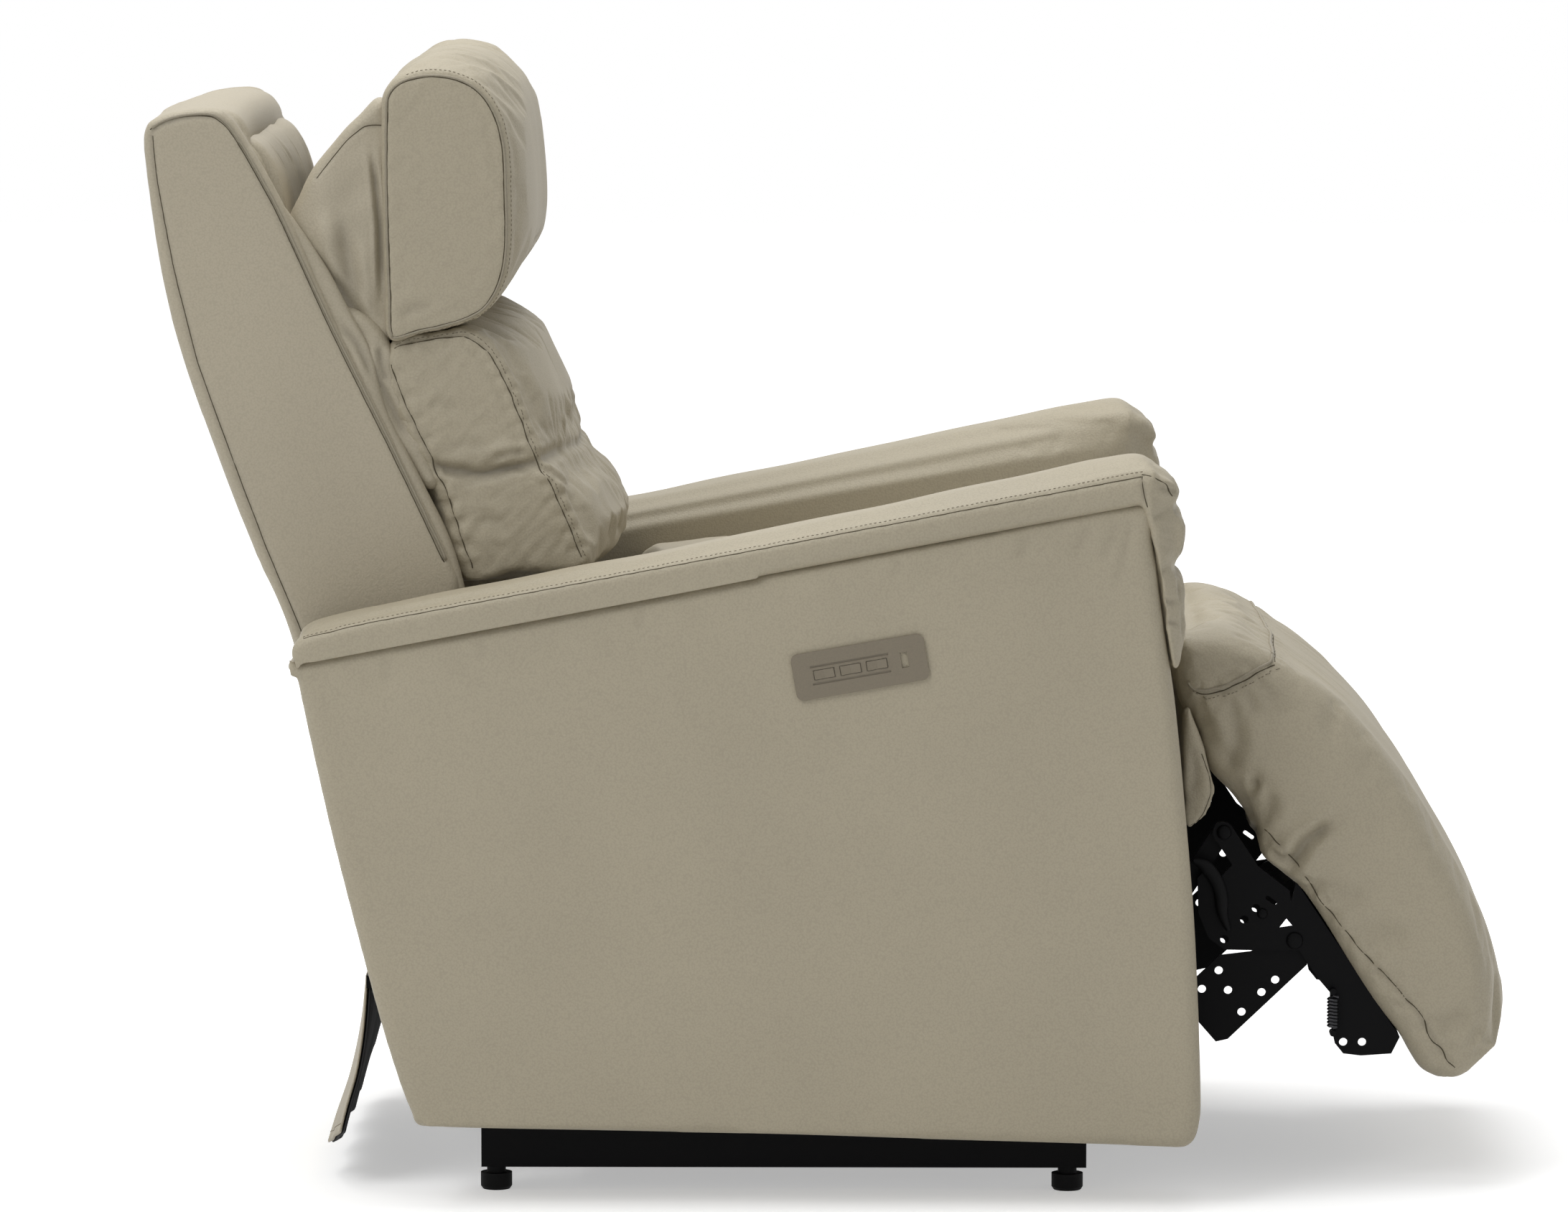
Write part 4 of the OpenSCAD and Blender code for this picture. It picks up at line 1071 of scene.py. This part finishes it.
FOOT_SIDE = [(326, 528), (345, 531), (372, 528), (396, 521), (418, 509), (443, 490), (468, 468),
             (497, 438), (523, 408), (549, 370), (572, 330), (590, 299), (607, 264), (620, 231),
             (630, 196), (634, 164), (635, 142), (637, 130), (629, 124), (615, 113), (603, 104), (590, 100),
             (574, 103), (558, 111), (546, 128), (536, 146), (515, 176), (467, 252), (446, 284), (425, 302),
             (405, 319), (400, 348), (386, 372), (361, 401), (347, 440), (330, 472), (325, 500)]
FOOT_MID = [(326, 533), (347, 537), (374, 534), (399, 527), (422, 515), (448, 496), (474, 473),
            (503, 443), (529, 413), (556, 374), (579, 334), (597, 302), (614, 267), (627, 234),
            (637, 196), (641, 164), (642, 142), (643, 128), (634, 120), (618, 109), (604, 101), (590, 98),
            (574, 101), (558, 111), (546, 128), (536, 146), (515, 176), (467, 252), (446, 284), (425, 302),
            (407, 319), (402, 348), (388, 372), (363, 401), (349, 440), (332, 472), (325, 500)]
KNEE_SEAM = [(330, 480), (345, 473), (371, 478), (392, 489), (410, 500), (421, 508)]
HEM = [(404, 344), (424, 330), (443, 308), (459, 279), (498, 231), (533, 196), (556, 170), (572, 142),
       (592, 114)]
FOOT_FOLDS = (
    (((340, 462), (352, 440), (362, 418), (368, 404)), 2.5, 8, 0.12),
    (((364, 402), (374, 410), (380, 428), (380, 456)), 4, 9, 0.14),
    (((386, 374), (394, 380), (402, 394)), 4, 4.5, 0.3),
    (((400, 350), (410, 358), (420, 380)), 3, 8, 0.12),
    (((424, 304), (434, 312), (441, 322), (450, 334), (464, 345), (480, 352)), 7, 6.5, 0.45),
    (((408, 324), (420, 318), (434, 314)), 6, 4.5, 0.5),
    (((448, 290), (466, 288), (490, 280), (508, 286)), 2.5, 9, 0.08),
    (((500, 236), (520, 244), (548, 236)), 4, 11, 0.05),
    (((572, 150), (592, 162), (612, 164)), 4, 9, 0.08))


def footrest():
    """Footrest pad with its knee part, and a gathered hem along its rear edge."""
    rows = cushion_rows(FOOT_SIDE, FOOT_MID, foot_half, 22, 2.2, 3.0, 40)
    obj = remesh(loft("footrest_cover", rows), 5)
    knees, hems = [[at(s * foot_half, line) for s, _ in SIDES] for line in (KNEE_SEAM, HEM)]
    knee_top = [(418 + 9 * math.cos(1.3 * t), t * (foot_half - 8), 510 + 4 * (1 - t * t))
                for t in np.linspace(-1, 1, 15)]
    hold = seam_hold(knees + [knee_top] + hems, 6)

    def held(co):
        """Hold on the seams, and where the pad lies on its sloping board."""
        on_board = (co[:, 0] - 440) * 0.832 + (co[:, 2] - 293) * 0.555 < 9
        return np.maximum(hold(co), ((co[:, 2] < 330) & on_board) * 1.0)

    swell(obj, 7, 4.0, held, 0.01)
    skin = Surface(refine(obj))
    for s, _ in SIDES:
        y0 = s * foot_half
        skin.groove(at(y0, KNEE_SEAM), 2.2, 3.0, 0.5, 1.1, 17, 2)
        skin.groove(at(y0, HEM), 2.6, 3.2, 0.5, 2.0, 31, 4)
        for x, z, wide, deep, high, amount in ((470, 400, 60, 40, 70, 5), (560, 250, 50, 40, 60, 4),
                                               (520, 330, 60, 40, 40, 3), (350, 430, 22, 30, 24, 4)):
            skin.bulge((x, y0, z), (wide, deep, high), amount)
        for a, b in (((412, 509), (386, 516)), ((404, 500), (376, 504)), ((392, 492), (366, 494))):
            middle = ((a[0] + b[0]) / 2, (a[1] + b[1]) / 2 + 2)
            skin.fold(at(y0, [a, middle, b]), 1.2, 4.0, 0.12)
        for k, (x, z) in enumerate(((372, 474), (386, 480), (401, 489))):
            skin.fold(at(y0, [(x, z), (x + 6 + 3 * k, z - 12), (x + 8 + 5 * k, z - 26)]), 1.2, 5, 0.1)
        for path, *look in FOOT_FOLDS:
            skin.fold(at(y0, path), *look)
        for k, (x, z) in enumerate(((440, 296), (454, 278), (480, 244), (506, 206), (528, 176))):
            run = 9 + 4 * math.sin(2.4 * k)
            skin.fold(at(y0, [(x + 2, z), (x + run, z + 1 + k % 2), (x + 1.6 * run, z - 5)]), 2.6, 3.2, 0.2)
    skin.groove(knee_top, 2.4, 3.2, 0.6, 0.8, 22, 5)
    for k, y0 in enumerate(np.linspace(-230, 230, 12)):
        skin.fold([(416, y0, 513), (396, y0 + 8 * math.sin(k), 524), (376, y0 + 5 * math.sin(2 * k), 532)],
                  1.2, 7, 0.12)
    for y0 in (-170, -60, 60, 170):
        skin.fold([(640, y0, 140), (650, y0 + 4, 164), (648, y0 + 12, 196)], 3.0, 7, 0.2)
    skin.ripple(1.0, 1.2, 130, SEED + 20)
    return skin.done(), knees, knee_top, hems


def seat_cushion():
    """Seat cushion with a sewn front edge and a crowned top."""
    f, r = 304, -203
    low = [(r, 402), (r + 12, 395), (0, 395), (f - 12, 395), (f, 406), (f, 470), (f, 540)]
    rear = [(r + 2, 556), (r, 500)]
    side = low + [(f - 6, 566), (f - 30, 578), (180, 581), (60, 579), (-60, 575), (-165, 567)] + rear
    mid = low + [(f - 6, 572), (f - 30, 586), (180, 593), (60, 591), (-60, 584), (-165, 570)] + rear
    obj = remesh(loft("seat_cushion_cover", cushion_rows(side, mid, seat_half, 14, 3, 2.0)), 6.5)
    tops = ((-180, 560), (0, 572), (180, 577), (264, 576))
    cross = [(264, y, 586 - 8 * abs(y / seat_half) ** 2)
             for y in np.linspace(-seat_half + 6, seat_half - 6, 12)]
    seams = [at(s * (seat_half - 4), tops) for s, _ in SIDES] + [cross]
    hold = seam_hold(seams, 7)
    swell(obj, 7, 4.0, lambda co: np.maximum(hold(co), (co[:, 2] < 520) * 1.0), 0.01)
    skin = Surface(refine(obj))
    for path in seams:
        skin.groove(path, 3.0, 4, 0.6, 1.2, 30, 3)
    for k, y0 in enumerate(np.linspace(-200, 200, 7)):
        sway = math.sin(3 * k)
        skin.fold([(258, y0, 586), (226, y0 + 14 * sway, 592), (196, y0 + 20 * sway, 592)], 2.4, 8, 0.2)
    skin.ripple(np.clip((skin.co[:, 2] - 540) / 30, 0, 1), 2.0, 150, SEED + 21)
    return skin.done(), cross


def apron():
    """Padded apron below the front of the seat, deeper at both ends."""
    side = [(331, 341), (344, 345), (356, 357), (364, 380), (362, 396), (355, 412), (349, 428), (343, 446),
            (334, 464), (331, 410), (331, 372)]
    mid = [(331, 359), (343, 360), (351, 366), (355, 382), (354, 400), (350, 420), (344, 440), (338, 458),
           (332, 466), (331, 410), (331, 380)]
    half = reach_of("front_apron")
    rows = cushion_rows(side, mid, half, 5, 40, 0.5, 50)
    skin = Surface(refine(remesh(loft("front_apron_cover", rows), 4)))
    line = ((334, 348), (344, 350), (351, 361), (358, 381), (357, 399), (349, 418))
    edges = [at(s * half, line) for s, _ in SIDES]
    for (s, _), edge in zip(SIDES, edges):
        skin.groove(edge, 1.2, 2.6, 0.5)
        skin.fold(at(s * half, [(338, 430), (342, 404), (340, 376)]), 1.5, 6, 0.2)
    skin.ripple(1.0, 0.8, 50, SEED + 22)
    return skin.done(), edges


def rear_flap():
    """Hanging leather flap under the back with its black lining."""
    half = reach_of("rear_skirt")
    line = catmull([(-446, 205), (-449, 190), (-455, 142), (-464, 98), (-476, 60), (-485, 29)], 5, False)
    columns, rows = 60, len(line)

    def rise(y):
        """How far the lower edge curls up toward the ends of the flap."""
        return 26 * max((abs(y) / half) ** 2 - 0.45, 0) / 0.55

    faces = [(a, a + 1, a + rows + 1, a + rows)
             for j in range(columns) for a in range(j * rows, (j + 1) * rows - 1)]
    made = []
    for name, off, slot, nodes, material in (("rear_flap", 0.0, "leather_back", ["rear_skirt"], LEATHER_BACK),
                                             ("rear_flap_lining", 4.0, "black_plastic", (), LINING)):
        verts = []
        for y in np.arange(columns + 1) * 2 * half / columns - half:
            for t, (x, z) in zip(np.arange(rows) / (rows - 1), line):
                wave = 3.0 * t * math.sin(y * 0.045 + 1.0) + 1.6 * t * math.sin(y * 0.11)
                verts.append((x + wave + rise(y) * t * 0.35 + off, y, z + rise(y) * t))
        obj = new_mesh(name, verts, faces)
        refine(modified(obj, "SOLIDIFY", thickness=0.0028, offset=0))
        finish_piece(obj, "base", slot, nodes, material=material)
        made.append(obj)
    flap = made[0]
    hem = [(-484 + 3.0 * math.sin(y * 0.045 + 1.0), y, 40 + rise(y))
           for y in np.linspace(-half + 5, half - 5, 40)]
    stitch_row("rear_flap_stitch", flap, hem)


def link_guard(side, word):
    """Curved black guard beside the upper links."""
    line = [(341, 314), (352, 309), (362, 297), (368, 281), (370, 262), (376, 246)]
    width = ((0, 2), (0.25, 7), (0.7, 6.5), (1, 2.5))
    back = [(t, -w) for t, w in width]
    return refine(strand("link_guard_" + word, line, side, 249, 3.2, back, width, 12))


def rivet(name, x, z, y, radius):
    """Domed head of a pivot, standing out from a plate at |Y| = y."""
    height, sides = 2.6, 24
    rings = [(1.0, 0.0), (1.0, 0.35), (0.86, 0.7), (0.55, 0.93), (0.0, 1.0)]
    out = math.copysign(height, y)
    verts = []
    for share, up in rings:
        for a in np.arange(sides) * 2 * math.pi / sides:
            verts.append((x + radius * share * math.cos(a), y + out * up, z + radius * share * math.sin(a)))
    return new_mesh(name, verts, ring_faces(len(rings), sides))


def build_footrest():
    pad, knees, knee_top, hems = footrest()
    finish_piece(pad, "footrest", "leather", ["footrest_pad"])
    for knee, hem, (_, side) in zip(knees, hems, SIDES):
        seam_line(f"knee_seam_{side}", pad, knee)
        seam_line(f"hem_seam_{side}", pad, hem)
        stitch_row(f"knee_stitch_{side}", pad, [(x + 4, y * 1.01, z - 3) for x, y, z in knee])
    seam_line("knee_seam_top", pad, knee_top)
    whole = knees[0] + knee_top + knees[1][::-1]
    welt("knee_welt", pad, [(x - 2.4, y, z + 2.4) for x, y, z in whole], 1.5)
    stitch_row("knee_stitch_top", pad, knee_top, 4.0)
    for s, side in SIDES:
        finish_piece(link_guard(s, side), "footrest", "black_plastic")
        for k, (x, z, r) in enumerate(((371, 340, 7), (439, 236, 8), (408, 262, 5))):
            head = rivet(f"rivet_{side}_{k}", x, z, s * 245.0, r)
            finish_piece(head, "footrest", "black_steel")


def build_seat():
    cushion, cross = seat_cushion()
    finish_piece(cushion, "seat", "leather", ["seat_cushion"])
    seam_line("seat_seam", cushion, cross)
    for k, off in enumerate((-4.0, 4.0)):
        stitch_row(f"seat_stitch_{k}", cushion, cross, off)
    front, edges = apron()
    finish_piece(front, "seat", "leather", ["front_apron"])
    for edge, (_, side) in zip(edges, SIDES):
        seam_line(f"apron_seam_{side}", front, edge, 0.5)


def build_port():
    """Pale tongue inside the charging slot."""
    slope = math.radians(10)
    middle_x, middle_z, outer, inner = 65.36, 521.3, -388.6, -379.5
    front, rear, high = 0.5, -0.9, 3.4
    verts = []
    for y in (outer, inner):
        for a, b in ((rear, -high), (front, -high), (front, high), (rear, high)):
            verts.append((middle_x + a * math.cos(slope) - b * math.sin(slope), y,
                          middle_z + a * math.sin(slope) + b * math.cos(slope)))
    faces = [(0, 1, 2, 3), (7, 6, 5, 4), (0, 4, 5, 1), (1, 5, 6, 2), (2, 6, 7, 3), (3, 7, 4, 0)]
    tongue = new_mesh("port_tongue", verts, faces)
    finish_piece(modified(tongue, "BEVEL", width=0.0002, segments=2), "base", "port_metal")


build_footrest()
build_port()
rear_flap()
build_seat()


# floor, light and camera

def background_rays(tree):
    """1 for rays that show what lies behind the chair: from the camera, in gloss or through glass."""
    path = node(tree, "ShaderNodeLightPath").outputs
    first = maths(tree, "ADD", path["Is Camera Ray"], path["Is Glossy Ray"])
    return maths(tree, "ADD", first, path["Is Transmission Ray"], use_clamp=True)


NEAR_GLOW, FAR_GLOW = 0.42, 0.76     # light that the floor adds for the camera, so that it ends in white
SKY_LIGHT = 0.38


def build_floor():
    white, tree, shader = new_material("studio floor")
    feed(tree, shader, {"Base Color": (0.9, 0.9, 0.9, 1), "Roughness": 0.9, "Specular IOR Level": 0.0})
    place = node(tree, "ShaderNodeTexCoord").outputs["Object"]
    reach = node(tree, "ShaderNodeVectorMath", {0: place}, operation="LENGTH").outputs["Value"]
    rise = map_range(tree, reach, (0.7, 2.4), (NEAR_GLOW, FAR_GLOW), interpolation_type="SMOOTHSTEP")
    level = maths(tree, "MULTIPLY", background_rays(tree), rise)
    glow = node(tree, "ShaderNodeEmission", {"Strength": level})
    both = node(tree, "ShaderNodeAddShader", {0: shader.outputs[0], 1: glow.outputs[0]})
    feed(tree, tree.nodes["Material Output"], {"Surface": both.outputs[0]})
    corners = [(-14000, -16000, 0), (14000, -16000, 0), (14000, 16000, 0), (-14000, 16000, 0)]
    floor = new_mesh("floor", corners, [(0, 1, 2, 3)])
    floor.data.materials.append(white)


def build_sky():
    world = bpy.data.worlds.new("studio")
    bpy.context.scene.world = world
    world.use_nodes = True
    tree = world.node_tree
    lit = tree.nodes["Background"]
    feed(tree, lit, {"Color": (1, 1, 1, 1), "Strength": SKY_LIGHT})
    seen = node(tree, "ShaderNodeBackground", {"Color": (1, 1, 1, 1), "Strength": 1.0})
    shaders = {0: background_rays(tree), 1: lit.outputs[0], 2: seen.outputs[0]}
    choice = node(tree, "ShaderNodeMixShader", shaders)
    feed(tree, tree.nodes["World Output"], {"Surface": choice.outputs[0]})


def build_lamps():
    for name, place, size, power, aim in (
            ("key", (-2.8, -3.0, 4.4), 3.0, 96, (0, 0, 0.5)),
            ("fill", (3.4, -3.6, 2.6), 3.0, 3, (0, 0, 0.5)),
            ("top", (-0.4, 0.6, 4.6), 3.2, 120, (0, 0, 0.4))):
        lamp = placed(name, set_all(bpy.data.lights.new(name, "AREA"), size=size, energy=power))
        lamp.location = place
        lamp.rotation_euler = (Vector(aim) - Vector(place)).to_track_quat("-Z", "Y").to_euler()


def build_camera():
    """The photograph's camera: a long lens from the right side, looking a little down."""
    camera = set_all(bpy.data.cameras.new("camera"), lens=192.86, sensor_width=36, clip_end=60)
    down, left = 5.856, 0.588
    bpy.context.scene.camera = set_all(placed("camera", camera), location=(0.033, -8.195, 1.372),
                                       rotation_euler=(math.radians(90 - down), 0, math.radians(left)))


build_floor()
build_sky()
build_lamps()
build_camera()
bpy.context.scene.view_settings.view_transform = "Standard"
